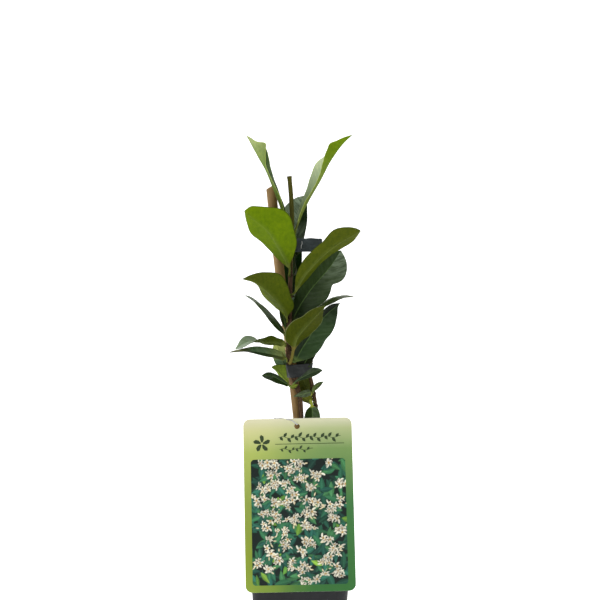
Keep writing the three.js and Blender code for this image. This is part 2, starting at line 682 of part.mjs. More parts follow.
// The loop of wire: out of the hole, over the label's top edge, round behind the cane and back to the hole.
const wireRoute = [
  [-2.6, -25.4, 201.2], [-4, -27.9, 202.6], [-7.4, -27.7, 205], [-11, -25, 207.1], [-16.5, -18, 206.7],
  [-22, -9, 206.3], [-20, -0.5, 205.9], [-12, 4.4, 205.6], [-3, 4.7, 205.4], [2.7, 2.4, 205.2],
  [4.5, -2.5, 205], [4.1, -7, 204.4], [2.3, -11.5, 203.6], [0.4, -16.5, 202.6], [-1.6, -22, 201.6],
];

function labelWire() {
  const route = new THREE.CatmullRomCurve3(wireRoute.map(vector), true, "centripetal");
  return tube(route, wireRadius, 6, evenShares(wireSteps).slice(0, -1), true);
}

// ---- the assembly ----

const finish = {
  pot: new THREE.MeshStandardMaterial({ color: 0x2e2f35, roughness: 0.45, metalness: 0 }),
  soil: new THREE.MeshStandardMaterial({ color: 0x33241a, roughness: 1, metalness: 0 }),
  bamboo: new THREE.MeshStandardMaterial({ color: 0x8f7551, roughness: 0.6, metalness: 0 }),
  bark: new THREE.MeshStandardMaterial({ color: 0x4a3826, roughness: 0.8, metalness: 0 }),
  leaf: new THREE.MeshStandardMaterial({ color: 0x3c5a20, roughness: 0.4, metalness: 0 }),
  tape: new THREE.MeshStandardMaterial({ color: 0x24282a, roughness: 0.5, metalness: 0 }),
  steel: new THREE.MeshStandardMaterial({ color: 0xb8bcc0, roughness: 0.3, metalness: 1 }),
  label: new THREE.MeshStandardMaterial({ color: 0x8db35a, roughness: 0.35, metalness: 0 }),
};

const plant = new THREE.Group();
const labelGroup = labelFrame();
plant.add(labelGroup);

function put(name, geometry, material, parent = plant) {
  const mesh = new THREE.Mesh(geometry, material);
  mesh.name = name;
  parent.add(mesh);
}

put("pot", pot(), finish.pot);
put("soil", soil(), finish.soil);
put("cane", cane(), finish.bamboo);
put("stem_main", stemTube(stems.main), finish.bark);
put("stem_second", stemTube(stems.second), finish.bark);
put("tie_upper", upperTie(), finish.tape);
put("staple_upper", placeFlag(staple(flagStaple)), finish.steel);
put("tie_lower", lowerTie(), finish.tape);
put("staple_lower", placeTail(staple(tieLower.stapleAlong)), finish.steel);
put("label", label(), finish.label, labelGroup);
put("label_wire", labelWire(), finish.steel);
for (const name of Object.keys(leaves)) put(name, leaf(name), finish.leaf);

export default plant;
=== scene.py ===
import math
import random

import bmesh
import bpy
import numpy as np
from mathutils import Matrix, Vector, noise


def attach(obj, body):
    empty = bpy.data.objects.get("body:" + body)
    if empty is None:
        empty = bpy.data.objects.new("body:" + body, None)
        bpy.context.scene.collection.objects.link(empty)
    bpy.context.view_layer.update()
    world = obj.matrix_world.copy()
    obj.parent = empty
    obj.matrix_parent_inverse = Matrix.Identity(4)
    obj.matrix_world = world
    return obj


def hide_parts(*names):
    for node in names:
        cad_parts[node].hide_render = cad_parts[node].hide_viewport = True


# A young star jasmine in a square nursery pot. Sizes are in millimetres unless a note says otherwise; meshes are
# turned into metres when they are made. +Z is up and -Y is the front.
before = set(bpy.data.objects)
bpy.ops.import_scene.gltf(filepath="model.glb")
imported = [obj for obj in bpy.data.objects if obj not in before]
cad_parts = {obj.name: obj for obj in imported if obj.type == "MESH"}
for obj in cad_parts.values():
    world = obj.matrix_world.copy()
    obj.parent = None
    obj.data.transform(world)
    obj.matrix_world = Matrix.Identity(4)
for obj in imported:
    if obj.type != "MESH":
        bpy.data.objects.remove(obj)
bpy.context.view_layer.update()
print("frame loaded")

up = np.array([0.0, 0.0, 1.0])
front = np.array([0.0, -1.0, 0.0])
fullTurn = 2 * np.pi


def newObject(name, data):
    made = bpy.data.objects.new(name, data)
    bpy.context.scene.collection.objects.link(made)
    return made


# camera, floor and lights

studio = {
    "distance": 1400,  # from the camera to the middle of the pot
    "height": 305,  # of the camera
    "seenWidth": 510,  # across the picture, at the pot
    "sensor": 36,
    "floorSize": (9000, 2600, -5200, 4200),  # width, back, front and how high its back rises
    "floorBend": 900,
    "floorTone": 0.9,
    "floorGlow": 0.8,
    "skyTone": (0.62, 0.63, 0.64, 1),
    "skyPower": 0.4,
    "lamps": [  # place, aim, size across and up, watts
        ((-1500, -1300, 1700), (0, 0, 250), 1500, 1500, 25),
        ((1500, -500, 1300), (0, 0, 280), 900, 1400, 11),
        ((0, 900, 1900), (0, 0, 300), 1600, 700, 15),
    ],
}


def aim(thing, place, target):
    thing.location = Vector(place) / 1000
    thing.rotation_euler = (thing.location - Vector(target) / 1000).to_track_quat("Z", "Y").to_euler()


def addCamera():
    camera = newObject("camera", bpy.data.cameras.new("camera"))
    camera.data.sensor_width = studio["sensor"]
    camera.data.lens = studio["sensor"] * studio["distance"] / studio["seenWidth"]
    aim(camera, (0, -studio["distance"], studio["height"]), (0, 0, studio["height"]))
    bpy.context.scene.camera = camera


def addLamps():
    for i, (place, target, across, high, watts) in enumerate(studio["lamps"]):
        lamp = bpy.data.lights.new(f"softbox_{i}", "AREA")
        lamp.shape = "RECTANGLE"
        lamp.size, lamp.size_y = across / 1000, high / 1000
        lamp.energy = watts
        aim(newObject(lamp.name, lamp), place, target)
    sky = bpy.data.worlds.new("sky")
    sky.use_nodes = True
    sky.node_tree.nodes["Background"].inputs["Color"].default_value = studio["skyTone"]
    sky.node_tree.nodes["Background"].inputs["Strength"].default_value = studio["skyPower"]
    bpy.context.scene.world = sky
    bpy.context.scene.view_settings.view_transform = "Standard"


addCamera()
addLamps()
print("camera and lights")


# materials


def rgb(red, green, blue):  # a colour as it looks on a screen, 0 to 255, turned into light
    return tuple(((v / 255 + 0.055) / 1.055) ** 2.4 if v > 10 else v / 255 / 12.92 for v in (red, green, blue)) + (1,)


class Flow:
    # What comes out of a node. Sums with it add the nodes that work them out.
    def __init__(self, tree, socket=None):
        self.tree = tree
        self.socket = socket

    def node(self, kind, settings=None, inputs=None, out=0):
        made = self.tree.nodes.new("ShaderNode" + kind)
        for name, value in (settings or {}).items():
            if name == "stops":
                self.setStops(made.color_ramp, value)
            else:
                setattr(made, name, value)
        for name, value in (inputs or {}).items():
            if isinstance(value, Flow):
                self.tree.links.new(value.socket, made.inputs[name])
            else:
                made.inputs[name].default_value = value
        return Flow(self.tree, made.outputs[out])

    def setStops(self, ramp, stops):
        while len(ramp.elements) < len(stops):
            ramp.elements.new(1)
        for element, (place, colour) in zip(ramp.elements, stops):
            element.position = place
            element.color = rgb(*colour)

    def math(self, operation, *values):
        return self.node("Math", {"operation": operation}, dict(enumerate(values)))

    def __add__(self, other):
        return self.math("ADD", self, other)

    def __sub__(self, other):
        return self.math("SUBTRACT", self, other)

    def __rsub__(self, other):
        return self.math("SUBTRACT", other, self)

    def __mul__(self, other):
        return self.math("MULTIPLY", self, other)

    def __truediv__(self, other):
        return self.math("DIVIDE", self, other)

    __radd__ = __add__
    __rmul__ = __mul__

    def attribute(self, name, out="Fac"):
        return self.node("Attribute", {"attribute_name": name}, out=out)

    def times(self, scale):  # a place, stretched along each axis
        return self.node("VectorMath", {"operation": "MULTIPLY"}, {0: self, 1: scale})

    def axis(self, number):  # one of a place's three numbers
        return self.node("SeparateXYZ", None, {0: self}, number)

    def place(self, stretch=1):  # object coordinates, in millimetres divided by stretch
        return self.node("TexCoord", out="Object").times([float(1000 / v) for v in np.broadcast_to(stretch, 3)])

    def noise(self, detail, roughness=0.55):  # at the place that comes out
        inputs = {"Vector": self, "Scale": 1.0, "Detail": detail, "Roughness": roughness}
        return self.node("TexNoise", None, inputs, "Fac")

    def grain(self, stretch, detail, roughness=0.55):  # noise over the object, its spots about as big as stretch
        return self.place(stretch).noise(detail, roughness)

    def step(self, low, high, least=0.0, most=1.0):  # a smooth rise from least at low to most at high
        inputs = {"Value": self, "From Min": low, "From Max": high, "To Min": least, "To Max": most}
        return self.node("MapRange", {"interpolation_type": "SMOOTHSTEP"}, inputs)

    def within(self, begins, full, fades, ends):
        return self.step(begins, full) * self.step(fades, ends, 1, 0)

    def mix(self, share, first, second, blend="MIX"):
        first, second = (rgb(*v) if isinstance(v, tuple) and len(v) == 3 else v for v in (first, second))
        settings = {"data_type": "RGBA", "blend_type": blend}
        return self.node("Mix", settings, {0: share, 6: first, 7: second}, 2)

    def over(self, share, colour):  # this colour with another laid over it
        return self.mix(share, self, colour)

    def tinted(self, red, green, blue):
        return self.mix(1.0, self, (red, green, blue, 1), "MULTIPLY")

    def bump(self, depth, strength=1.0):  # 0 to 1 stands for depth in millimetres
        return self.node("Bump", None, {"Height": self, "Distance": depth / 1000, "Strength": strength})


def newMaterial(name, build, *values):
    material = bpy.data.materials.new(name)
    material.use_nodes = True
    shader = material.node_tree.nodes["Principled BSDF"]
    for socket, value in build(Flow(material.node_tree), *values).items():
        if isinstance(value, Flow):
            material.node_tree.links.new(value.socket, shader.inputs[socket])
        else:
            shader.inputs[socket].default_value = value
    return material


def finish(colour, roughness, gloss, normal=None, **others):
    sockets = {"Base Color": colour, "Roughness": roughness, "Specular IOR Level": gloss, **others}
    return {**sockets, "Normal": normal} if normal else sockets


# meshes


def along(points, count, isLoop=False, steps=24):
    # evenly spaced places on a smooth curve through the points, the way it runs at each, and its length
    points = np.array(points, float)
    if isLoop:
        points = np.vstack([points[-1:], points, points[:2]])
    else:
        points = np.vstack([2 * points[0] - points[1], points, 2 * points[-1] - points[-2]])
    fine = []
    for a, b, c, d in zip(points, points[1:], points[2:], points[3:]):
        early, here, late = (math.sqrt(np.linalg.norm(q - p)) for p, q in ((a, b), (b, c), (c, d)))
        leave = here * ((b - a) / early - (c - a) / (early + here) + (c - b) / here)
        arrive = here * ((c - b) / here - (d - b) / (here + late) + (d - c) / late)
        for t in np.arange(steps) / steps:
            cubic = (2 * b - 2 * c + leave + arrive) * t**3 + (3 * c - 3 * b - 2 * leave - arrive) * t**2
            fine.append(cubic + leave * t + b)
    fine = np.array(fine + [points[-2]])
    lengths = np.concatenate([[0], np.cumsum(np.linalg.norm(np.diff(fine, axis=0), axis=1))])
    wanted = np.linspace(0, lengths[-1], count)
    places = np.stack([np.interp(wanted, lengths, fine[:, k]) for k in range(3)], 1)
    ways = np.gradient(places, axis=0)
    return places, ways / np.linalg.norm(ways, axis=1)[:, None], lengths[-1]


def between(stops, values, where, scale=1, count=400):  # a smooth run of values through those at the stops
    line = along([(x * scale, y, 0) for x, y in zip(stops, values)], count)[0]
    return np.interp(np.asarray(where) * scale, line[:, 0], line[:, 1])


def ease(value, low, high):
    share = np.clip((np.asarray(value, float) - low) / (high - low), 0, 1)
    return share * share * (3 - 2 * share)


def skin(rings, isLoop=False):
    # points and faces of a closed body through rings of equally many points
    rings = np.array(rings, float)
    count, size = rings.shape[:2]
    i, j = np.meshgrid(np.arange(count if isLoop else count - 1), np.arange(size), indexing="ij")
    k, n = (j + 1) % size, (i + 1) % count
    faces = np.stack([i * size + j, i * size + k, n * size + k, n * size + j], -1).reshape(-1, 4).tolist()
    if not isLoop:
        faces += [list(range(size))[::-1], list(range((count - 1) * size, count * size))]
    return rings.reshape(-1, 3), faces


def facesOut(mesh):
    mesh.calc_loop_triangles()
    corners = np.array([[mesh.vertices[v].co for v in t.vertices] for t in mesh.loop_triangles[:]])
    if np.einsum("ij,ij->i", corners[:, 0], np.cross(corners[:, 1], corners[:, 2])).sum() < 0:
        mesh.flip_normals()


def newPiece(name, body, materials, slot=None, stands=None, kinds=None, notes=None):
    # A mesh in the frame. kinds gives each face its material, and notes are named values at the points.
    points, faces = body
    mesh = bpy.data.meshes.new(name)
    mesh.from_pydata((np.asarray(points) / 1000).tolist(), [], faces)
    for material in materials:
        mesh.materials.append(material)
    if kinds is not None:
        mesh.polygons.foreach_set("material_index", np.asarray(kinds, np.int32))
    mesh.polygons.foreach_set("use_smooth", np.full(len(faces), True))
    for key, values in (notes or {}).items():
        values = np.asarray(values, np.float32)
        kind, field = ("FLOAT", "value") if values.ndim == 1 else ("FLOAT_COLOR", "color")
        mesh.attributes.new(key, kind, "POINT").data.foreach_set(field, values.ravel())
    mesh.update()
    piece = newObject(name, mesh)
    facesOut(mesh)
    if slot:
        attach(piece, "root")
    if stands:
        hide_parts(stands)
    return piece


def tubeRings(places, ways, radii, sides, start=front):
    rings = []
    across = np.array(start, float)
    turns = fullTurn * np.arange(sides) / sides
    for centre, way, radius in zip(places, ways, np.broadcast_to(radii, len(places))):
        across = across - across @ way * way
        across /= np.linalg.norm(across)
        other = np.cross(way, across)
        rings.append(centre + radius * (np.outer(np.cos(turns), across) + np.outer(np.sin(turns), other)))
    return np.array(rings)


def circle(radius, sides):
    turns = np.linspace(0, fullTurn, sides, endpoint=False)
    return np.stack([np.cos(turns), np.sin(turns)], 1) * radius


def roundedBox(left, right, bottom, top, corner, perCorner=10, perSide=1):
    arcs = []
    for q, (x, y) in enumerate([(right, top), (left, top), (left, bottom), (right, bottom)]):
        middle = (x - corner if q in (0, 3) else x + corner, y - corner if q in (0, 1) else y + corner)
        turns = np.pi / 2 * (q + np.arange(perCorner + 1) / perCorner)
        arcs.append(middle + corner * np.stack([np.cos(turns), np.sin(turns)], 1))
    line = []
    shares = np.arange(1, perSide)[:, None] / perSide
    for arc, following in zip(arcs, arcs[1:] + arcs[:1]):
        line += [arc, arc[-1] + (following[0] - arc[-1]) * shares]
    return np.vstack(line)


def squareRing(width, corner, z, perCorner=14, perSide=8):
    half = width / 2
    line = roundedBox(-half, half, -half, half, corner, perCorner, perSide)
    return np.column_stack([line, np.full(len(line), z)])


def joined(bodies):  # several (points, faces) as one
    points, faces, count = [], [], 0
    for more, sides in bodies:
        points.append(more)
        faces += [[v + count for v in side] for side in sides]
        count += len(more)
    return np.vstack(points), faces


# the stage


def paperLook(flow):
    tone = studio["floorTone"]
    colour = flow.mix(flow.grain(4, 2), (tone, tone, tone, 1), (tone * 0.985, tone * 0.985, tone * 0.985, 1))
    return {
        "Base Color": colour, "Roughness": 0.9, "Specular IOR Level": 0.1,
        "Emission Color": (1, 1, 1, 1), "Emission Strength": studio["floorGlow"],
    }


def addFloor():
    width, back, near, rise = studio["floorSize"]
    bend = studio["floorBend"]
    line = [(near, 0)]
    for turn in np.linspace(0, math.pi / 2, 17):
        line.append((back - bend + bend * math.sin(turn), bend - bend * math.cos(turn)))
    line.append((back, rise))
    points = [(x, y, z) for y, z in line for x in (-width / 2, width / 2)]
    faces = [[2 * i, 2 * i + 1, 2 * i + 3, 2 * i + 2] for i in range(len(line) - 1)]
    newPiece("floor", (points, faces), [newMaterial("paper", paperLook)])


addFloor()
print("floor")


# the shoots: smooth curves through points, thinner towards the end and thicker at the nodes

shoots = {
    "main": {
        "points": [
            (5, -8.5, 70), (5.2, -8.6, 95), (5.6, -8.9, 140), (3.2, -7.9, 175), (1.1, -6.5, 205.5),
            (-0.1, -5.9, 222), (-2.4, -6.7, 231), (-5.8, -7, 240), (-8.8, -6.8, 250), (-9.9, -6.4, 258),
            (-9.7, -6, 270), (-8.8, -5.4, 290), (-8.2, -5, 317), (-7.7, -4, 340), (-6.8, -3.2, 358),
            (-6.9, -3.2, 378), (-7.6, -3.4, 393), (-9, -3.6, 409.8),
        ],
        "radius": (2.4, 1.75),
        "nodes": [231, 254, 266, 277.5, 290, 309, 326, 360],
        "youngFrom": 318,  # the height where its bark turns green
    },
    "second": {
        "points": [
            (24.5, 4.5, 70), (23.6, 4, 95), (21, 3, 130), (17.6, 1.8, 172), (14.3, 0.8, 205.5), (12.5, 0.8, 220),
            (10.2, 1.4, 233), (7.8, 2.4, 245), (9.2, 4.6, 254), (9.4, 8, 264), (6.4, 10.6, 281), (2, 12, 300),
        ],
        "radius": (2.75, 1.3),
        "nodes": [215, 225.5, 229, 253, 273, 284, 297],
        "youngFrom": 400,
    },
}
shootRings = 420
shootShares = np.linspace(0, 1, shootRings)
nodeRise = 0.3
nodeReach = 0.008  # of the shoot's length

for shoot in shoots.values():
    shoot["places"], shoot["ways"], shoot["length"] = along(shoot["points"], shootRings)
    shoot["nodeShares"] = np.interp(shoot["nodes"], shoot["places"][:, 2], shootShares)
    shoot["nodeNear"] = np.abs(shootShares[:, None] - shoot["nodeShares"]).min(1)
    thick, thin = shoot["radius"]
    shoot["radii"] = thick + (thin - thick) * shootShares + nodeRise * (1 - ease(shoot["nodeNear"], 0, nodeReach))


def shootAt(name, z):  # its middle and its radius at a height
    shoot = shoots[name]
    values = np.column_stack([shoot["places"], shoot["radii"]])
    *middle, radius = (np.interp(z, shoot["places"][:, 2], v) for v in values.T)
    return np.array(middle), radius


# leaves

# spine, half, widest, ends, roll, fold, at and out place a leaf as its solid does: the midrib of the blade from
# base to tip, the greatest half-width and where it lies, the roundness of its two ends, how far the upper side is
# turned and each half rises in degrees, and the height and the direction in which the stalk leaves its shoot.
# Where a leaf has wide or folds, they give the half-width and the rise of its two halves at the stops along it. Every
# pair of halves names the right one first, seen from the base with the upper side up. dents are nicks in a margin:
# where along the leaf, 1 for the right half and -1 for the left, how deep and how long, all as shares.
# upper and under are the colours of the two sides, from base to tip where there are several. shade paints light and
# shade on a half, making it darker or lighter, and paintedSheen is a painted reflection: how much it turns the upper
# side of a half pale grey. rim is the colour of a pale margin, thick is the stalk's radius, waves is how far the
# margin goes in and out, and quilt how far the blade bulges between its side veins.
plainLeaf = {
    "shoot": "main", "half": 8, "widest": 0.5, "ends": (1, 0.8), "roll": (0, 0), "fold": 12, "flat": False,
    "upper": (38, 62, 26), "under": (88, 112, 26), "stalk": (96, 104, 44), "waves": 0.15, "quilt": 0.13,
    "dents": [], "shade": (1, 1), "paintedSheen": (0, 0), "thick": 0.85, "rim": (0, 0, 0), "wide": None, "folds": None,
    "stops": (0.06, 0.16, 0.3, 0.45, 0.6, 0.75, 0.87, 0.95),
}
laterStops = (0.06, 0.16, 0.3, 0.45, 0.6, 0.75, 0.9, 0.975)
# painted shade: the stalks of the leaves further back are darker, as they lie in shade
shadedStalk = (44, 56, 22)
leaves = {
    "leaf_top_left": {
        "at": 360.5, "out": -160, "roll": (82, 84, 90, 128), "upper": (68, 94, 40),
        "under": [(74, 94, 22), (76, 98, 26), (104, 126, 54), (160, 172, 118)], "shade": (0.74, 1),
        "paintedSheen": (0.05, 0), "rim": (176, 190, 96), "stops": (0.1, 0.3, 0.45, 0.6, 0.7, 0.78, 0.84, 0.93),
        "wide": ((3, 5.9, 7.4, 8.9, 10.8, 12.5, 13.4, 7), (3, 7, 10.5, 12.5, 13, 13.2, 13.6, 7)),
        "folds": ((48, 30, 26, 33, 52, 71, 74, 63), (34, 27, 15, 5, 14, 27, 38, -1)),
        "spine": [(-10.6, -7, 365.5), (-14.3, -8, 377.7), (-17.4, -9, 386.9), (-22.8, -10, 400.4),
                  (-28.5, -11, 414.2), (-35.9, -12, 427.2), (-44.8, -13, 443.3)],
    },
    "leaf_top_right": {
        "at": 359.5, "out": -50, "roll": (-85, -78, -80, -120),
        # its upper colours turn pale towards the tip: a painted reflection
        "upper": [(74, 84, 46), (118, 136, 92), (198, 212, 168), (212, 226, 186)],
        "under": [(88, 100, 34), (90, 106, 34), (94, 116, 20), (98, 124, 6)], "paintedSheen": (0, 0.35),
        "rim": (176, 190, 96), "stops": (0.1, 0.3, 0.45, 0.6, 0.7, 0.76, 0.81, 0.9),
        "wide": ((3.5, 8, 11.5, 12.8, 12.5, 12, 11.5, 6.5),) * 2,
        "folds": ((28, 25, 20, 29, 39, 42, 50, 25), (54, 34, 43, 48, 31, 30, 31, 43)),
        "spine": [(-3.4, -6.4, 365.4), (2.5, -8, 380.2), (8, -9, 390.8), (16.9, -11, 406), (25.7, -13, 422.5),
                  (35.8, -14, 436.3), (43.6, -15, 443.7)],
    },
    "leaf_back_upper": {
        "at": 326, "out": 40, "roll": (-24, -24), "fold": 32, "stalk": shadedStalk,
        "upper": [(28, 48, 15), (32, 54, 20), (52, 74, 42)], "shade": (0.6, 1.15),
        "paintedSheen": ((0, 0.4, 0.3, 0, 0, 0), (0.35, 0.7, 1)),
        "wide": ((6.7, 9.2, 11.7, 12.7, 12.6, 10.5, 8.2, 5), (2.2, 4.7, 8, 10.9, 13.9, 14.2, 10.2, 5.6)),
        "spine": [(-5.1, 9, 342.6), (-3, 12, 359.9), (-0.4, 14, 378), (2.9, 14, 394.5)],
    },
    "leaf_back_middle": {
        "at": 290.5, "out": 60, "roll": (-6, -10), "fold": 16, "stalk": shadedStalk, "upper": (14, 40, 6),
        "wide": ((1.4, 3.6, 6.1, 7, 7, 5.9, 3.9, 1.9), (1.7, 4.3, 7.3, 8.9, 8.6, 6.8, 4.3, 2)),
        "spine": [(-8.1, 7, 305), (-6.4, 12, 318.7), (-5.2, 17, 334.3), (-3.9, 20, 349.8), (-1.7, 20, 367.1)],
    },
    "leaf_left_large": {
        "at": 325.5, "out": -110, "roll": (142, 142), "fold": 21,
        "under": [(84, 104, 12), (88, 112, 8), (94, 118, 6)], "shade": (0.9, 1), "stops": laterStops,
        "wide": ((3.9, 11.1, 14.9, 18, 21.2, 18.5, 9.6, 2.6), (2.9, 9.5, 16.8, 20.3, 23.5, 18.4, 11.2, 6.8)),
        "spine": [(-8.9, -9, 332), (-13.5, -13, 341.2), (-19.7, -17, 352.4), (-26.8, -19, 362.9), (-36, -21, 370.6),
                  (-46.5, -22, 379.8)],
    },
    "leaf_right_large": {
        "at": 309.5, "out": -60, "roll": (232, 232), "under": (67, 77, 13), "stops": laterStops,
        "wide": ((3.3, 7.2, 11.5, 12.3, 12.2, 15.3, 9.2, 3.4), (2.8, 7.8, 8.6, 7.7, 9.6, 11, 10, 3.4)),
        "spine": [(-4, -9, 311.8), (3.4, -14, 324.8), (15.1, -17, 338.2), (28.5, -18, 349.9), (40.3, -17, 357.3),
                  (51, -15, 363.3)],
    },
    "leaf_right_dark": {
        "at": 286.5, "out": 10, "roll": (-13, -13), "fold": 10, "waves": 0.5, "quilt": 0.1,
        "dents": [(0.61, 1, 0.1, 0.04)], "stalk": shadedStalk, "upper": [(20, 36, 6), (31, 48, 14), (40, 56, 22)],
        "paintedSheen": ((0, 0.06, 0.42), (0, 0.02, 0.04)),
        "wide": ((4.3, 9, 14.1, 16.9, 13.8, 16.4, 12.2, 6.2), (2.6, 5.3, 9, 9.1, 9, 8.2, 6.4, 4.1)),
        "spine": [(-6.6, -4.2, 287.2), (-3.2, -4.6, 294), (1.3, -5, 302.2), (9.3, -4, 313.9), (17.6, -2, 323.7),
                  (25.9, 1, 333.5), (35, 5, 347.2)],
    },
    "leaf_left_mid": {
        "at": 286.5, "out": -140, "roll": (135, 135), "fold": 29,
        "under": [(66, 78, 10), (66, 78, 12), (66, 74, 18)], "shade": (1.75, 1),
        "wide": ((1.8, 12.8, 18.6, 18.6, 13.4, 3.7, 2.7, 2.1), (2.1, 10.4, 12.9, 17.5, 19.2, 12.6, 6, 1.9)),
        "spine": [(-10.9, -9.4, 288.5), (-13.3, -12, 295.1), (-18, -14, 302.5), (-26.9, -17, 311.7),
                  (-36.4, -18, 319.2), (-42.8, -18, 321.8), (-48.3, -17, 322.7)],
    },
    "leaf_left_narrow": {
        "at": 274, "out": -150, "roll": (70, 70), "upper": [(36, 52, 16), (40, 56, 22), (70, 84, 54)],
        "paintedSheen": ((0, 0.1, 0.3), 0),
        "wide": ((2.8, 5, 7.4, 8.4, 7.8, 6.2, 4.2, 2.2), (1.6, 3.6, 6.4, 8.2, 7.8, 6.2, 4.2, 2.2)),
        "folds": ((14, 6, -2, -6, -8, -9, -6, -1), (-32, -19, -6, 2, 6, 10, 12, 11)),
        "spine": [(-12.7, -8.8, 275.2), (-21.9, -12, 287.4), (-29.9, -14, 296.4), (-37.8, -15, 304),
                  (-45.9, -16, 308.9)],
    },
    "leaf_right_thin": {
        "shoot": "second", "at": 284, "out": -20, "roll": (-80, -80), "upper": (62, 76, 34),
        "wide": ((1.5, 3.9, 6.5, 7.9, 7.7, 6.1, 3.8, 1.8),) * 2,
        "folds": ((-7, -8, -16, -20, -23, -17, -7, -5), (3, 0, -3, -5, -4, -4, -2, 2)),
        "spine": [(7.4, 10.4, 289), (12.5, 12, 297), (18.5, 13, 301.3), (27.5, 14, 306.2), (36.9, 13, 308.3),
                  (46.4, 11, 307.7)],
    },
    "leaf_right_front": {
        "at": 251.6, "out": -80, "thick": 1.25, "roll": (222, 222), "fold": 18, "stalk": (100, 92, 42),
        "under": [(57, 66, 9), (57, 65, 9), (60, 66, 16)], "shade": (1, 0.92), "rim": (120, 128, 84),
        "wide": ((3, 9.2, 12.8, 12.4, 9, 7.5, 4.9, 2.1), (4.1, 14, 14.7, 15.4, 15.3, 13.7, 6.3, 1.9)),
        "spine": [(-5.4, -14, 263.6), (-3.1, -18, 272.3), (1.3, -21, 278.8), (9.9, -23.6, 288.3),
                  (21.1, -24.4, 300.3)],
    },
    "leaf_right_low": {
        "at": 253.5, "out": -20, "roll": (22, 22), "fold": 24, "stalk": (70, 88, 40),
        "upper": [(34, 54, 24), (35, 58, 27), (29, 51, 20), (12, 18, 6)], "shade": (1, 0.34),
        "paintedSheen": ((0.02, 0.06, 0.04), 0),
        "wide": ((5.8, 11.2, 13.4, 13.4, 14.1, 11.7, 6.7, 1.3), (6.4, 9.4, 9, 7.2, 5.9, 6.5, 5.9, 3.1)),
        "spine": [(-4.2, -5, 252.8), (1.3, -5, 263.2), (7, -4.2, 272), (14.3, -2.4, 283.4), (23, 0.4, 293.1),
                  (34.1, 3, 302.3)],
    },
    "leaf_back_low": {
        "shoot": "second", "at": 249, "out": -90, "thick": 0.84, "fold": 10, "stalk": shadedStalk,
        "upper": (22, 30, 9), "wide": ((4.2, 4.8, 4.8, 4.5, 4.2, 3.6, 2.6, 1.4), (9, 10.4, 9.4, 8, 7, 5, 3.5, 2)),
        "spine": [(0.6, 0.6, 245.4), (6, 1.2, 254.6), (12.2, 2.6, 265), (16.5, 4.4, 276)],
    },
    "leaf_left_twisted": {
        "at": 266, "out": -160, "roll": (128, 124, 98, 42, 25),
        "upper": [(66, 84, 42), (74, 94, 60), (102, 122, 88)], "under": (54, 66, 6),
        "paintedSheen": ((0, 0.1, 0.25, 0.3), (0, 0.2, 0.5, 0.6)),
        "wide": ((5, 5.8, 7.2, 9.6, 8.6, 8.6, 6, 3.4), (5.1, 6.7, 8.6, 11.4, 18, 16.5, 9.8, 5.6)),
        "folds": ((7, 8, 5, 9, 5, -13, -22, -34), (0, 1, 13, 4, 8, 38, 48, 57)),
        "spine": [(-12.4, -7.9, 268.3), (-24, -9, 269.6), (-35, -11, 269.6), (-44.8, -9, 269.6),
                  (-54.8, -6, 263.4)],
    },
    "leaf_left_long": {
        "at": 253, "out": -125, "thick": 0.84, "roll": (55, 55, 74, 112),
        "upper": [(112, 122, 60), (104, 122, 64), (74, 104, 60), (80, 116, 76), (112, 108, 46), (92, 86, 32)],
        "under": (64, 70, 24), "shade": (1, 0.35), "paintedSheen": ((0.1, 0.25, 0.2), 0),
        "wide": ((5, 6.2, 6.9, 6.9, 6, 4.3, 2.6, 1.2),) * 2,
        "folds": ((27, 12, 12, 20, 24, 26, 42, 55), (14, 15, 16, 10, 10, -1, -17, -30)),
        "spine": [(-12, -10, 256), (-22.9, -13, 259), (-35.3, -16, 261.2), (-47.9, -18, 262.2),
                  (-58.9, -19, 261.2)],
    },
    "leaf_back_left": {
        "shoot": "second", "at": 222.5, "out": 105, "roll": (160, 160), "fold": 10,
        "under": [(48, 70, 56), (60, 84, 66), (66, 90, 72), (80, 104, 74), (150, 160, 92), (136, 146, 80)],
        "wide": ((0.4, 1.6, 4.1, 6.8, 8, 7, 4.7, 2.3), (0.4, 1.6, 4.1, 6.8, 8.2, 8.4, 8, 6)),
        "spine": [(-3, 10.5, 234.5), (-9.5, 11, 242), (-14.5, 11.5, 252), (-18, 11.5, 261), (-21, 11, 270)],
    },
    "leaf_left_inner": {
        "at": 274, "out": 175, "half": 3.1, "widest": 0.45, "thick": 0.372, "fold": 10, "upper": (36, 50, 12),
        "spine": [(-12.6, -4.4, 280.5), (-13.3, -3.8, 287), (-14.6, -3.8, 294), (-17, -4.5, 303.5)],
    },
    "leaf_left_small": {
        "at": 230.5, "out": -178, "roll": (160, 160), "fold": 15,
        "under": [(140, 154, 62), (124, 146, 54), (90, 108, 28)],
        "wide": ((1, 1.2, 1.5, 2.1, 2.3, 1.5, 0.9, 0.8), (5, 7.5, 9, 9.8, 9.6, 6.4, 4.1, 2.5)),
        "spine": [(-9.4, 2.4, 234), (-14.7, 5.6, 239.3), (-19, 8, 244), (-24.3, 8, 247.9)],
    },
    "leaf_left_low": {
        "at": 231.5, "out": -120, "thick": 0.72, "roll": (50, 50), "upper": [(30, 50, 10), (26, 42, 12)],
        "paintedSheen": (0.05, 0),
        "wide": ((1.4, 2.1, 3, 3.6, 3.9, 4, 3.1, 1.3), (2.8, 3.9, 5.3, 6.6, 7.3, 6.6, 4.7, 2.5)),
        "spine": [(-9.4, -9.4, 233), (-16.5, -11.5, 237.1), (-23.6, -13, 240.7), (-32.2, -14, 241.4)],
    },
    "leaf_right_small": {
        "at": 233, "out": -100, "thick": 0.66, "roll": (-50, -50), "stalk": (110, 130, 70),
        "upper": [(42, 56, 34), (38, 54, 30)], "shade": (1, 0.7), "paintedSheen": (0.04, 0.1),
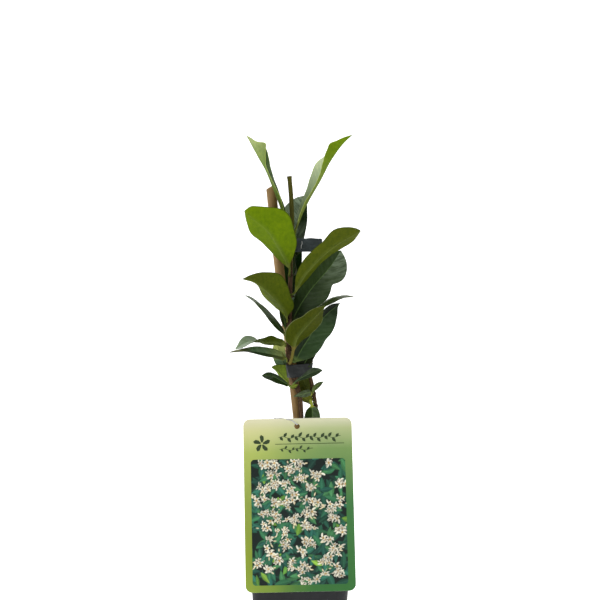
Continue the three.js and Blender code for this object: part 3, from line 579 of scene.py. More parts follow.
        "wide": ((0.8, 1.5, 3, 4.8, 6.1, 6, 4.6, 2), (0.8, 1.6, 1.9, 2.8, 4.1, 4.7, 3.1, 1.6)),
        "spine": [(-5.8, -10.6, 234), (-1.3, -10.9, 237.6), (3.3, -12, 240.4), (9.7, -13.3, 243.6),
                  (15.1, -14, 245.4), (19, -14, 245.6)],
    },
    "leaf_shoot_right": {
        "shoot": "second", "at": 226.5, "out": -85, "half": 2.4, "ends": (0.7, 0.8), "thick": 0.288,
        "roll": (-15, -15), "upper": [(84, 98, 54), (58, 74, 40)],
        "spine": [(10.6, -4, 226.6), (11.8, -5.6, 229.6), (15.2, -7, 232.8), (19.8, -8, 236.1)],
    },
    "leaf_shoot_left": {
        "shoot": "second", "at": 226.5, "out": -120, "half": 3.1, "widest": 0.34, "ends": (0.5, 1), "thick": 0.372,
        "roll": (10, 10), "fold": 8, "upper": [(46, 56, 28), (58, 70, 44)], "paintedSheen": (0.1, 0.15),
        "spine": [(9.6, -4.4, 227), (6.5, -6.4, 226.3), (3.3, -8, 225.6), (-1, -9.2, 224.7), (-5.6, -10, 223.5)],
    },
    "leaf_shoot_back": {
        "shoot": "second", "at": 226, "out": 110, "roll": (180, 180), "fold": 10, "under": (84, 94, 36),
        "shade": (1.05, 0.85),
        "wide": ((6.4, 7, 7.4, 7.5, 7.2, 6.2, 4.8, 3.2), (2.6, 4.8, 6.4, 7, 7.1, 6.2, 4.8, 3.2)),
        "spine": [(8.3, 4.2, 225), (5.6, 4.8, 231), (3.4, 5.2, 237), (1.6, 5.6, 242.5)],
    },
    "leaf_shoot_low": {
        "shoot": "second", "at": 218.5, "out": -110, "half": 4.6, "widest": 0.45, "thick": 0.552,
        "roll": (150, 150), "under": (84, 88, 26),
        "spine": [(8.9, -3, 216.8), (7, -4.8, 219.6), (4.5, -6.4, 221.9), (1.9, -7.4, 223.6)],
    },
    "leaf_hanging": {
        "shoot": "second", "at": 225, "out": -150, "half": 7, "widest": 0.45, "ends": (0.55, 0.8), "thick": 1.25,
        "stalk": (146, 154, 56), "upper": (40, 60, 18), "shade": (0.75, 1.15), "paintedSheen": (0, 0.14),
        "spine": [(10, -7, 215.4), (10.5, -10, 210.5), (10.1, -12, 203), (7.6, -12, 188.7)],
    },
    "leaf_bud": {
        "at": 231.8, "out": -150, "half": 1.45, "thick": 0.95, "roll": (-10, -10), "fold": 14,
        "stalk": (86, 108, 26), "upper": (92, 104, 26),
        "spine": [(-8.1, -10.8, 232.3), (-5, -11.4, 232.3), (-1.7, -11.9, 233.8)],
    },
}
rearLeaves = {  # shoot, at, out, half, fold, roll and spine
    "leaf_rear_upper": ("main", 308, 20, 15, 16, (10, 10),
        [(2, 6, 311), (8, 17, 319), (14, 32, 327), (20, 48, 325)]),
    "leaf_rear_left": ("second", 297.5, 130, 15, 18, (-10, -10),
        [(-3, 16, 300), (-9, 24, 306), (-18, 36, 312), (-27, 50, 312)]),
    "leaf_rear_right": ("second", 296.5, 20, 14, 18, (10, 10),
        [(5.5, 15, 301), (12, 24, 311), (19, 36, 319), (26, 48, 322)]),
    "leaf_rear_middle": ("second", 273, 110, 13, 18, (-6, -6),
        [(2, 16, 275), (-1, 26, 279), (-6, 38, 280), (-10, 50, 274)]),
    "leaf_rear_low": ("second", 264, 60, 10, 18, (0, 0),
        [(9, 14, 266), (8.6, 23, 269), (7, 33, 268), (4.5, 43, 262)]),
}
for name, (shoot, at, out, half, fold, roll, spine) in rearLeaves.items():
    leaves[name] = {
        "shoot": shoot, "at": at, "out": out, "half": half, "fold": fold, "roll": roll, "spine": spine,
        "flat": True, "stalk": shadedStalk,
    }
leafBuild = {
    "rows": 76,  # sections of a blade
    "evenStops": (0.11, 0.22, 0.33, 0.44, 0.56, 0.67, 0.78, 0.89),  # for a leaf without wide
    "stalkRows": 12,
    "columns": 15,  # from the midrib to a margin
    "thickness": 0.45,
    "stalkGap": 0.1,
    "tip": 0.15,  # half the width of the very tip
    "opens": 0.13,  # the share of a blade in which the stalk turns into a blade
    "calmFrom": 0.86,  # from this share on the waves of the margin fade
    "droop": 0.06,  # how much lower a margin hangs
    "valley": 0.06,  # the share of a half in which the blade is rounded along its midrib
    "swings": (21, 12),  # the lengths of the waves of a margin
    "ridge": 0.806,  # how far the midrib stands out under the base, in stalk radii
    "groove": 0.22,  # along the midrib, on the upper side
    "veinStep": 4.6,  # between side veins, along the midrib
    "veinSweep": 0.75,  # how far forward they run for each millimetre outwards
    "veinBend": 0.012,
}


def columnStops(count):  # close together at the midrib and at the margin
    half = np.concatenate([np.linspace(0, 1, count)[:-1] ** 1.5 * 0.97, [0.97, 0.99, 1.0]])
    return np.concatenate([-half[:0:-1], half])


def outline(share, widest, base, tip):  # the half-width along a blade, 1 at its widest
    bulge = np.sin(np.pi * np.clip(share, 0, 1) ** (math.log(0.5) / math.log(widest)))
    return np.clip(bulge, 0, 1) ** np.where(share < widest, base, tip)


def spread(values, share):  # one value or several, evenly spaced from the base to the tip
    return np.interp(share, np.linspace(0, 1, np.size(values)), np.atleast_1d(values))


def smoothly(share, stops, values, first, last):  # a smooth run of values along a blade
    return between([0, *stops, 1], [first, *values, last], share, 60)


def upperSide(ways, rolls, isFlat):
    reference = up if isFlat else front
    level = reference - ways * (ways @ reference)[:, None]
    level /= np.linalg.norm(level, axis=1)[:, None]
    turn = np.radians(rolls)[:, None]
    return level * np.cos(turn) + np.cross(ways, level) * np.sin(turn)


def stalkLine(start, away, blade, way):  # from the shoot into the base of the blade
    bend = 0.4 * np.linalg.norm(blade - start)
    t = np.linspace(0, 1, leafBuild["stalkRows"], endpoint=False)[:, None]
    b, c = start + away * bend, blade - way * bend
    return start * (1 - t) ** 3 + 3 * b * t * (1 - t) ** 2 + 3 * c * t**2 * (1 - t) + blade * t**3


def veinPhase(alongMm, acrossMm, number):
    # counts up by one from each side vein to the next; the two halves of a blade are out of step
    reach = np.abs(acrossMm)
    bend = leafBuild["veinSweep"] * reach + leafBuild["veinBend"] * reach**2
    return (alongMm - bend) / leafBuild["veinStep"] + 0.25 * np.sign(acrossMm) + 0.1 * number


def marginWaves(alongMm, s, draw):  # each margin goes in and out at its own pace
    ripple = 0
    for side in (-1, 1):
        for swing in leafBuild["swings"]:
            phase = draw.uniform(0, 6.28)
            pace = swing * draw.uniform(0.85, 1.2)
            wave = np.sin(fullTurn * alongMm / pace + phase) * swing / leafBuild["swings"][0]
            ripple = ripple + wave * (np.sign(s) == side)
    return ripple


def buildLeaf(name, number):
    leaf = {**plainLeaf, **leaves[name]}
    rows, stalkRows, stalk = leafBuild["rows"], leafBuild["stalkRows"], leaf["thick"]
    turn = math.radians(leaf["out"])
    away = np.array([math.cos(turn), math.sin(turn), 0])
    holder, radius = shootAt(leaf["shoot"], leaf["at"])
    blade, bladeWays, length = along(leaf["spine"], rows)
    stem = stalkLine(holder + away * (radius + leafBuild["stalkGap"]), away, blade[0], bladeWays[0])
    centres = np.vstack([stem, blade])
    ways = np.gradient(centres, axis=0)
    ways /= np.linalg.norm(ways, axis=1)[:, None]
    share = np.concatenate([np.zeros(stalkRows), np.linspace(0, 1, rows)])
    isBlade = np.arange(stalkRows + rows) >= stalkRows
    normals = upperSide(ways, spread(leaf["roll"], share), leaf["flat"])
    sides = np.cross(ways, normals)
    opened = ease(share, 0, leafBuild["opens"]) * isBlade

    stops = columnStops(leafBuild["columns"])
    s = stops[None, :]  # across the blade, -1 and 1 at the margins
    size = np.abs(s)

    def byHalf(values):  # the right half's and the left half's, along the blade
        return np.where(s > 0, values[0][:, None], values[1][:, None])

    even, wide = leaf["stops"], leaf["wide"]
    if not wide:
        even = leafBuild["evenStops"]
        wide = [leaf["half"] * outline(np.array(even), leaf["widest"], *leaf["ends"])] * 2
    half = byHalf([np.where(isBlade, smoothly(share, even, side, stalk, leafBuild["tip"]), stalk) for side in wide])
    folds = leaf["folds"] or [[leaf["fold"]] * 8] * 2
    fold = byHalf([np.radians(smoothly(share, leaf["stops"], side, side[0], side[-1])) for side in folds])
    fold = fold * opened[:, None]
    alongMm = (share * length)[:, None] + 0 * s
    acrossMm = half * s
    ripple = marginWaves(alongMm, s, random.Random(number * 7 + 1))
    free = (opened * (1 - ease(share, leafBuild["calmFrom"], 1)))[:, None]
    dent = 1.0
    for place, side, deep, reach in leaf["dents"]:
        dent = dent - deep * np.exp(-(((share[:, None] - place) / reach) ** 2)) * (np.sign(s) == side) * size**2
    phase = veinPhase(alongMm, acrossMm, number)
    quilt = leaf["quilt"] * (0.5 - 0.5 * np.cos(fullTurn * phase)) * ease(size, 0.03, 0.2) * (1 - ease(size, 0.8, 1))
    valley = np.hypot(size, leafBuild["valley"]) - leafBuild["valley"]
    lift = half * valley * np.sin(fold) * (1 - leafBuild["droop"] * size**3)
    lift = lift + leaf["waves"] * ripple * size**2.2 * free + quilt * free
    across = acrossMm * np.cos(fold) * dent

    thick = (stalk + (leafBuild["thickness"] / 2 - stalk) * opened)[:, None]
    roundEdge = np.sqrt(np.clip((1 - size) / 0.06, 0, 1))
    swell = thick * np.where(opened[:, None] < 0.5, np.sqrt(1 - s**2), roundEdge)
    rib = (stalk * (1 - 0.75 * share) * opened)[:, None]
    ridge = leafBuild["ridge"] * rib * np.exp(-((acrossMm / np.maximum(rib, 0.2)) ** 2))
    groove = leafBuild["groove"] * (opened * (1 - share))[:, None] * np.exp(-((acrossMm / 0.5) ** 2))

    def surface(level):
        return centres[:, None] + sides[:, None] * across[..., None] + normals[:, None] * (lift + level)[..., None]

    rings = np.concatenate([surface(swell - groove), surface(-swell - ridge)[:, -2:0:-1]], axis=1)
    points, faces = skin(rings)
    kinds = [0 if f[0] % rings.shape[1] < len(stops) - 1 else 1 for f in faces[:-2]] + [1, 1]
    order = np.concatenate([np.arange(len(stops)), np.arange(len(stops) - 2, 0, -1)])

    def noted(values):
        return np.broadcast_to(values, alongMm.shape)[:, order].ravel()

    paintedSheens = [spread(side, share) for side in leaf["paintedSheen"]]
    notes = {
        "bladeAlong": noted(alongMm), "bladeAcross": noted(acrossMm), "bladeEdge": noted(size),
        "bladeShare": noted(share[:, None]), "bladePhase": noted(phase), "bladeOpen": noted(opened[:, None]),
        "bladeBloom": noted(byHalf(paintedSheens)), "bladeRim": np.full(len(points), float(any(leaf["rim"]))),
    }
    # painted light and shade: each half of the blade made darker or lighter
    shade = np.where(s > 0, *leaf["shade"])
    for key in ("upper", "under"):
        run = [spread(values, share)[:, None] for values in zip(*(rgb(*v) for v in np.atleast_2d(leaf[key])))]
        notes[key + "Tint"] = np.stack([noted(v * shade) for v in run[:3]] + [noted(run[3])], 1)
    for key in ("stalk", "rim"):
        notes[key + "Tint"] = np.broadcast_to(rgb(*leaf[key]), (len(points), 4))
    newPiece(name + "_blade", (points, faces), leafMaterials, "leaf", name, kinds, notes)


leafSides = {
    "upper": {
        "mottle": 0.28, "vein": 0.7, "veinTint": (1.5, 1.42, 1.4), "rib": 0.75, "ribTone": (96, 124, 66),
        # the pale grey given for the upper side is the colour of the painted sheen, a painted reflection
        "paintedSheen": (160, 178, 150), "edge": (110, 124, 70), "edgeShare": 0.3, "edgeSpan": (0.975, 1.0),
        "rimSpan": (0.9, 0.97), "level": 0.5, "relief": (-0.35, -0.2, -0.12, 0.12), "bump": (0.35, 0.6),
        "roughness": 0.34, "gloss": 0.08,
    },
    "under": {
        "mottle": 0.7, "vein": 0.4, "veinTint": (0.8, 0.84, 0.8), "rib": 0.38, "ribTone": (98, 112, 50),
        "band": 0.3, "bandTone": (96, 108, 58), "edge": (44, 52, 14), "edgeShare": 0.65, "edgeSpan": (0.93, 1.0),
        "rimSpan": (0.95, 0.985), "level": 0.4, "relief": (0.3, 0.2, 0.15, 0.2), "bump": (0.3, 0.5),
        "roughness": 0.62, "gloss": 0.03,
    },
}


def leafLook(flow, key):
    looks = leafSides[key]
    phase, share, edge = (flow.attribute(name) for name in ("bladePhase", "bladeShare", "bladeEdge"))
    across = flow.attribute("bladeAcross")
    off = flow.math("ABSOLUTE", across)
    near = flow.math("PINGPONG", phase + (flow.grain(9, 2) - 0.5) * 0.35, 0.5) * (1.6 * leafBuild["veinStep"])
    vein = near.step(0.12, 0.55, 1, 0) * edge.step(0.75, 0.96, 1, 0)
    rib = (off / (0.75 - share * 0.5)).step(0.45, 1.0, 1, 0)
    cells = flow.node("TexVoronoi", {"feature": "DISTANCE_TO_EDGE"}, {"Vector": flow.place(), "Scale": 0.75})
    net = cells.step(0.0, 0.22, 1, 0)  # small veins
    patches, clouds, fine = flow.grain(2.6, 3), flow.grain((11, 11, 15), 3), flow.grain(0.9, 3)

    tint = flow.attribute(key + "Tint", "Color")
    colour = flow.mix(clouds.step(0.35, 0.68), tint.tinted(0.93, 0.94, 0.95), tint.tinted(1.1, 1.06, 1))
    dark, light = colour.tinted(0.72, 0.8, 0.6), colour.tinted(1.28, 1.2, 1)
    colour = colour.over(patches.step(0.5, 0.7) * looks["mottle"], dark)
    colour = colour.over(patches.step(0.49, 0.3) * looks["mottle"] * 0.9, light)
    colour = colour.over(fine.step(0.52, 0.75) * looks["mottle"] * 0.5, dark)
    colour = colour.over(net * 0.12, colour.tinted(1.3, 1.26, 1.2))
    colour = colour.over(vein * looks["vein"], colour.tinted(*looks["veinTint"]))
    if "band" in looks:  # along the midrib
        band = off.step(0.6, 3.4, 1, 0) * share.step(0.05, 0.95, 1, 0.25)
        colour = colour.over(band * looks["band"], looks["bandTone"])
    colour = colour.over(rib * looks["rib"], flow.mix(0.5, looks["ribTone"], colour.tinted(1.7, 1.6, 1.5)))
    # painted sheen: a pale grey reflection painted on the upper side, in streaks along the side veins
    if "paintedSheen" in looks:  # in streaks along the side veins
        streaks = {0: phase * 1.7, 1: across * 0.13, 2: flow.attribute("bladeAlong") * 0.03}
        sheenStreaks = flow.node("CombineXYZ", None, streaks).noise(4).step(0.34, 0.66) * 0.8 + 0.42
        paintedSheen = flow.attribute("bladeBloom") * sheenStreaks * (1 - vein * 0.5)
        colour = colour.over(paintedSheen * edge.step(0.9, 1.0, 1, 0.5), looks["paintedSheen"])
    colour = colour.over(edge.step(*looks["edgeSpan"]) * looks["edgeShare"], looks["edge"])
    rim = edge.step(*looks["rimSpan"]) * flow.attribute("bladeRim") * 0.8
    colour = colour.over(rim, flow.attribute("rimTint", "Color"))
    stalk = 1 - flow.attribute("bladeOpen").step(0.1, 0.8)
    colour = colour.over(stalk, flow.attribute("stalkTint", "Color"))
    height = looks["level"]
    for mask, rise in zip((vein, rib, net, fine - 0.5), looks["relief"]):
        height = height + mask * rise
    return finish(colour, looks["roughness"] + fine.step(0.3, 0.8) * 0.14, looks["gloss"], height.bump(*looks["bump"]))


leafMaterials = [newMaterial("leaf upper side", leafLook, "upper"), newMaterial("leaf underside", leafLook, "under")]
for number, name in enumerate(leaves):
    buildLeaf(name, number)
print("leaves", len(leaves))


# bamboo cane

cane = {
    "foot": np.array((20.7, -5.4, 8)),
    "head": np.array((-24.2, 4.5, 400.4)),
    "radius": 4.2,
    "bow": [(0, 0), (215, 0), (255, 0), (290, -0.5), (332, -1.2), (370, -0.9), (410, -0.3)],  # height, aside
    "knots": [0.08, 0.35, 0.648, 0.875],  # where its rings are, as a share of its length
    "knotShape": [(-1.3, 0.9, 0.34), (1.4, 1.6, 0.3), (0, 0.55, -0.3)],  # how far under the knot, how long, how high
    "swell": 0.3,  # how much thicker it is near its head
    "waves": [(23, 0, 0.05), (7.3, 1, 0.03)],  # small changes of its girth: length, phase, height
    "bevels": (0.4, 0.25),  # at its foot and its head
    "mapRadius": 3.9,  # the radius at which its markings are worked out
    "slant": 0.42,  # the sawn end isn't square
    "pithRadius": 1.5,
    "pith": [(0.3, 0.0, 1.12), (0.6, 0.5, 1.0), (6, 6, 1.0), (16, 16, 0.9)],  # depth as marked and as cut, width
    "rings": 520,
    "sides": 40,
    "pale": (165, 135, 95),
    "plain": (129, 105, 64),
    "dark": (76, 54, 32),
    "fibre": (70, 48, 28),
    "knotPale": (186, 160, 118),
    "knotDark": (70, 48, 30),
    "shadow": (78, 60, 44),
    "low": (96, 70, 42),
    # painted light: a pale patch of the cane where light falls on it
    "paintedLight": (206, 186, 136),
    "cut": (176, 148, 108),
    # painted shade on the side of the cane away from the light
    "shadedSideSpan": (-3.4, 3.6),  # from front to back
    "lowSpan": (190, 262),  # these three are millimetres from its foot
    "shadowSpan": (225, 231, 240, 246),
    "paintedLightSpan": (257, 262, 272, 277),
}


def caneBow(heights):
    return between(*zip(*cane["bow"]), heights, count=200)


def roundPlaces(turn, rows, radius):  # where the points of a stem would be if it ran straight up
    rounds = np.tile(turn, len(rows))
    rows = np.repeat(rows, len(turn))
    return np.stack([np.cos(rounds) * radius, np.sin(rounds) * radius, rows, np.ones(len(rows))], 1)


def buildCane():
    foot, head, sides = cane["foot"], cane["head"], cane["sides"]
    length = np.linalg.norm(head - foot)
    way = (head - foot) / length
    alongMm = np.linspace(0, length, cane["rings"])
    offKnot = alongMm - np.array(cane["knots"])[:, None] * length
    radius = cane["radius"] - 0.06 + sum(rise * np.sin(alongMm / step + phase) for step, phase, rise in cane["waves"])
    for under, reach, rise in cane["knotShape"]:
        radius += rise * np.exp(-(((offKnot + under) / reach) ** 2)).sum(0)
    radius += cane["swell"] * ease(alongMm, length - 70, length - 30)
    radius[[0, -1]] -= cane["bevels"]
    places = foot + alongMm[:, None] * way
    spokes = tubeRings(places, np.tile(way, (len(places), 1)), radius, sides) - places[:, None]
    turn = np.linspace(0, fullTurn, sides, endpoint=False)
    oval = 1 + 0.015 * np.cos(2 * turn + 0.6) + 0.008 * np.cos(5 * turn)
    rings = places[:, None] + spokes * oval[None, :, None] * 0.985
    inner = [head - way * deep + spokes[-1] / radius[-1] * cane["pithRadius"] * wide for _, deep, wide in cane["pith"]]
    rings = np.concatenate([rings, inner])
    rings[..., 0] += caneBow(rings[..., 2])
    slant = cane["slant"] * (rings[..., 0] - rings[-1, :, 0].mean() + cane["radius"])
    rings[..., 2] += slant * ease(rings[..., 2], head[2] - 5, head[2] - 0.5)

    rows = np.append(alongMm, [length - deep for deep, *_ in cane["pith"]])
    knotNear = np.append(np.abs(offKnot).min(0), [99] * len(inner))
    isCut = np.arange(len(rings)) >= len(alongMm) - 1
    notes = {
        "canePlace": roundPlaces(turn, rows, cane["mapRadius"]), "caneKnot": np.repeat(knotNear, sides),
        "caneCut": np.repeat(isCut, sides),
    }
    newPiece("cane_bamboo", skin(rings), [newMaterial("bamboo", caneLook)], "bamboo", "cane", notes=notes)


def caneLook(flow):
    spot = flow.attribute("canePlace", "Vector")
    fibres = spot.times((2.2, 2.2, 0.05)).noise(5, 0.65)
    clouds = spot.times((0.22, 0.22, 0.03)).noise(3)
    specks = spot.times((1.4, 1.4, 0.5)).noise(4)
    knot, upward = flow.attribute("caneKnot"), spot.axis(2)
    knotDark = knot.step(0.2, 0.9, 1, 0)
    knotPale = knot.step(1.5, 3.5, 1, 0) * (1 - knotDark)
    colour = flow.mix(clouds.step(0.3, 0.72), cane["pale"], cane["plain"])
    colour = colour.over(fibres.step(0.45, 0.75) * 0.55, cane["fibre"])
    colour = colour.over(specks.step(0.62, 0.72) * 0.5, cane["dark"])
    colour = colour.over(knotPale * 0.4, cane["knotPale"])
    colour = colour.over(knotDark * 0.75, cane["knotDark"])
    colour = colour.over(upward.step(*cane["lowSpan"], 1, 0) * 0.35, cane["low"])
    # painted shade on the side of the cane away from the light
    colour = colour.over(spot.axis(1).step(*cane["shadedSideSpan"]) * 0.85, colour.tinted(0.62, 0.6, 0.34))
    colour = colour.over(upward.within(*cane["shadowSpan"]) * 0.6, cane["shadow"])
    # painted light: a pale patch up the cane where light falls on it
    colour = colour.over(upward.within(*cane["paintedLightSpan"]) * 0.75, cane["paintedLight"])
    colour = colour.over(flow.attribute("caneCut") * 0.6, cane["cut"])
    return finish(colour, 0.5 + fibres * 0.2, 0.1, (fibres * 0.6 + specks * 0.4).bump(0.25, 0.5))


buildCane()
print("cane")


# bark of the shoots

bark = {
    "sides": 28,
    "flares": [(60, 10, 0.12), (3, 0, 0.18)],  # near a cut end: from and to, measured from it, and how much wider
    "ledge": [(0, 0.7, 0.22), (2, 0.8, -0.12)],  # a leaf scar: how far past its node, how long, how high
    "ribs": [(5, 0.06, 0.04), (9, -0.1, 0.03)],  # how many, twist, height
    "tip": (0.25, 0.7),  # the rounding of a cut end: height and width
    "mapRadius": 2,
    "nodeReach": 1.4,
    "greenIn": 30,  # the height over which the bark turns green
    "young": (86, 84, 30),
    "brown": (62, 44, 26),
    "grey": (104, 80, 60),
    "dark": (34, 22, 12),
    "lenticel": (140, 116, 86),
    "cut": (120, 108, 70),
}


def buildShoot(name):
    shoot, sides = shoots[name], bark["sides"]
    places, length = shoot["places"], shoot["length"]
    alongMm = shootShares * length
    radius = shoot["radii"].copy()
    for node in shoot["nodeShares"]:
        for past, reach, rise in bark["ledge"]:
            radius += rise * np.exp(-((((shootShares - node) * length - past) / reach) ** 2))
    radius *= 1 + sum(ease(alongMm, length - low, length - high) * wider for low, high, wider in bark["flares"])
    turn = np.linspace(0, fullTurn, sides, endpoint=False)
    spokes = tubeRings(places, shoot["ways"], radius - 0.05, sides) - places[:, None]
    ribs = sum(rise * np.cos(count * turn + alongMm[:, None] * twist) for count, twist, rise in bark["ribs"])
    rings = places[:, None] + spokes * (1 + ribs / radius[:, None])[..., None]
    tip = places[-1] + shoot["ways"][-1] * bark["tip"][0] + (rings[-1] - places[-1]) * bark["tip"][1]
    points, faces = skin(np.concatenate([rings, tip[None]]))

    node = np.append(np.exp(-((shoot["nodeNear"] * length / bark["nodeReach"]) ** 2)), 0)
    notes = {
        "barkPlace": roundPlaces(turn, np.append(alongMm, length + 0.3), bark["mapRadius"]),
        "barkYoung": ease(points[:, 2], shoot["youngFrom"], shoot["youngFrom"] + bark["greenIn"]),
        "barkCut": np.repeat(np.arange(shootRings + 1) == shootRings, sides), "barkNode": np.repeat(node, sides),
    }
    newPiece(f"stem_{name}_bark", (points, faces), [barkMaterial], "bark", f"stem_{name}", notes=notes)


def barkLook(flow):
    spot = flow.attribute("barkPlace", "Vector")
    ridges, clouds = spot.times((2.4, 2.4, 0.12)).noise(5, 0.65), spot.times((0.5, 0.5, 0.06)).noise(3)
    spots = flow.node("TexVoronoi", None, {"Vector": spot.times((0.8, 0.8, 0.45)), "Scale": 1.0})
    lenticel = spots.step(0.1, 0.22, 1, 0)
    young, cracks = flow.attribute("barkYoung"), ridges.step(0.42, 0.7)
    colour = flow.mix(clouds.step(0.35, 0.7), bark["brown"], bark["grey"])
    colour = colour.over(cracks * 0.7, bark["dark"])
    colour = colour.over(young * ridges.step(0.75, 0.45, 0.45, 1), bark["young"])
    colour = colour.over(lenticel * (1 - young * 0.6) * 0.8, bark["lenticel"])
    colour = colour.over(flow.attribute("barkNode") * 0.55, bark["dark"])
    colour = colour.over(flow.attribute("barkCut"), bark["cut"])
    height = lenticel * 0.5 - cracks * 0.5 + clouds * 0.3
    return finish(colour, 0.66 + ridges * 0.2, 0.1, height.bump(0.3, 0.7))


barkMaterial = newMaterial("bark", barkLook)
for name in shoots:
    buildShoot(name)
print("shoots")


# tape ties and staples

tape = {
    "thickness": 0.5,
    "gap": 0.3,
    "slack": 0.25,
    "corner": 1.4,
    "wire": 0.25,
    "staple": 5.6,
    "stapleEnd": 2,
    "scuff": (96, 102, 102),
    "edge": (0.35, 0.07),  # how much thinner the band's edges are, and how far they stand out
    "bandWaves": [(2, 1, 0.16), (5, 0, 0.08)],  # up and down round a band: how many, phase, height
    "bends": [(0.55, 0.6, 0.14), (1.7, 0, 0.05)],  # of a strip: pace, phase, height
    "crease": 0.05,
    "groove": (0.12, 0.2),  # between the two layers of a strip: half its width, and its depth
    "skew": 0.06,  # of a staple
    "steel": {
        "grain": 0.3, "tones": ((236, 236, 232), (206, 206, 204)), "metal": 0.35, "roughness": 0.28, "depth": 0.04,
    },
    "upper": {
        "z": 351.6, "height": 11.8, "tilt": 0, "flagEnd": 18.8, "flagBack": 0.4, "stapleX": 1.4, "uneven": 0.25,
        "round": ["cane", "main"], "material": "plant tape", "colour": (60, 67, 67), "worn": (90, 99, 103),
    },
    "lower": {
        "z": 245.2, "height": 11, "tilt": 0.06, "tailX": 3, "tailStart": 4.9, "tailLength": 8.5, "stapleX": 5.1,
        "uneven": 0, "round": ["cane", "main", "second"], "material": "darker plant tape", "colour": (35, 37, 37),
        "worn": (58, 62, 61),
    },
}


def circleAt(name, z):  # the cane or a shoot, cut at a height: x, y and radius
    if name == "cane":
        foot, head = cane["foot"], cane["head"]
        spot = foot + (head - foot) * (z - foot[2]) / (head[2] - foot[2])
        return spot[0] + caneBow(z), spot[1], cane["radius"]
    middle, radius = shootAt(name, z)
    return middle[0], middle[1], radius


def bandRing(tie, rise, extra, sides=120):
    z = tie["z"] + rise
    circles = np.array([circleAt(name, z) for name in tie["round"]])
    out = circle(1, sides)
    far = circles[(out @ circles[:, :2].T + circles[:, 2]).argmax(1)]
    return np.column_stack([far[:, :2] + out * (far[:, 2:] + extra), np.full(sides, z)])


def bandBody(tie):
    half, inside, thick = tie["height"] / 2, tape["gap"] + tape["slack"], tape["thickness"]
    thinner, outer = tape["edge"]
    rings = []
    for z in np.linspace(-half, half, 15):  # up the outside, then down the inside
        edge = abs(z / half) ** 6
        rings.append(bandRing(tie, z, inside + thick * (1 - thinner * edge**4) + outer * edge - 0.05))
    rings += [bandRing(tie, z * 0.995, inside) for z in np.linspace(half, -half, 15)]
    rings = np.array(rings)
    turn = np.linspace(0, fullTurn, rings.shape[1], endpoint=False)
    rings[..., 2] += sum(rise * np.sin(count * turn + phase) for count, phase, rise in tape["bandWaves"])
    rings[..., 2] += tie["tilt"] * rings[..., 0]
    return skin(rings, isLoop=True)


def stripBody(length, height):
    # a double strip from x = 0, with rounded far corners and a groove between its layers
    thick, corner, (slit, deep) = tape["thickness"], tape["corner"], tape["groove"]
    rings = []
    for x in [*np.linspace(0, length - corner, 24), *(length - corner * (1 - np.sin(np.linspace(0.12, 1.5, 9))))]:
        past = max(0, x - (length - corner))
        half = height / 2 - (corner - math.sqrt(max(corner**2 - past**2, 0)))
        bend = sum(rise * math.sin(x * pace + phase) for pace, phase, rise in tape["bends"])
        ring = []
        for side in (-1, 1):  # the layer in front, up, then the one behind, down
            for z in np.linspace(side, -side, 15):
                swell = 1 if abs(z) < 0.93 else 0.82
                crease = tape["crease"] * math.sin(4 * z + x * 0.4) if side < 0 else 0
                ring.append((x, bend + side * thick * swell + crease, z * half))
            end = -side * half
            ring += [(x, bend + side * slit, end), (x, bend, end + side * deep), (x, bend - side * slit, end)]
        rings.append(ring)
    return skin(rings)


def stapleBody(alongX):
    # bent wire: its crown in front, its legs through the strip and its ends folded in behind
    reach, end = tape["staple"] / 2, tape["stapleEnd"]
    out = tape["thickness"] + tape["gap"] + tape["wire"]
    line = [
        (out * 0.92, reach - end), (out, reach - 0.6), (out * 0.7, reach), (0, reach), (-out * 0.7, reach),
        (-out, reach - 0.5), (-out * 1.02, reach * 0.4), (-out * 0.98, -reach * 0.3), (-out, 0.5 - reach),
        (-out * 0.7, -reach), (0, -reach), (out * 0.7, -reach), (out, 0.6 - reach), (out * 0.9, end - reach + 0.2),
    ]
    points = [(alongX + tape["skew"] * z + 0.3 * math.sin(z * 1.1), y, z) for y, z in line]
    places, ways, _ = along(points, 90)
    return skin(tubeRings(places, ways, tape["wire"], 10, (1, 0, 0)))


def tapeLook(flow, tie):
    cloud, grain, scuff = flow.grain((7, 7, 3), 4), flow.grain(0.35, 3), flow.grain((0.5, 0.5, 4), 4)
    colour = flow.mix(cloud.step(0.4, 0.75) * 0.6, tie["colour"], tie["worn"])
    colour = colour.over(scuff.step(0.6, 0.8) * 0.3, tape["scuff"])
    return finish(colour, 0.42 + cloud * 0.2, 0.14, (grain * 0.6 + scuff * 0.4).bump(0.12, 0.5))


def metalLook(flow, looks):
    grain = flow.grain(looks["grain"], 3)
    colour = flow.mix(grain, *looks["tones"])
    rough, normal = looks["roughness"] + grain * 0.15, grain.bump(looks["depth"], 0.4)
    return finish(colour, rough, 0.5, normal, Metallic=looks["metal"])


def addTie(name, length, move, turn, steel):
    tie = tape[name]
    strip, stripFaces = stripBody(length, tie["height"] - tape["gap"])
    strip[:, 2] += tie["uneven"] * np.sin(strip[:, 0] * 0.5 + 1) * (strip[:, 2] > 0)
    body = joined([bandBody(tie), (strip @ turn + move, stripFaces)])
    material = newMaterial(tie["material"], tapeLook, tie)
    newPiece(f"tie_{name}_tape", body, [material], "tape", f"tie_{name}")
    wire, wireFaces = stapleBody(tie["stapleX"])
    newPiece(f"staple_{name}_wire", (wire @ turn + move, wireFaces), [steel], "steel", f"staple_{name}")


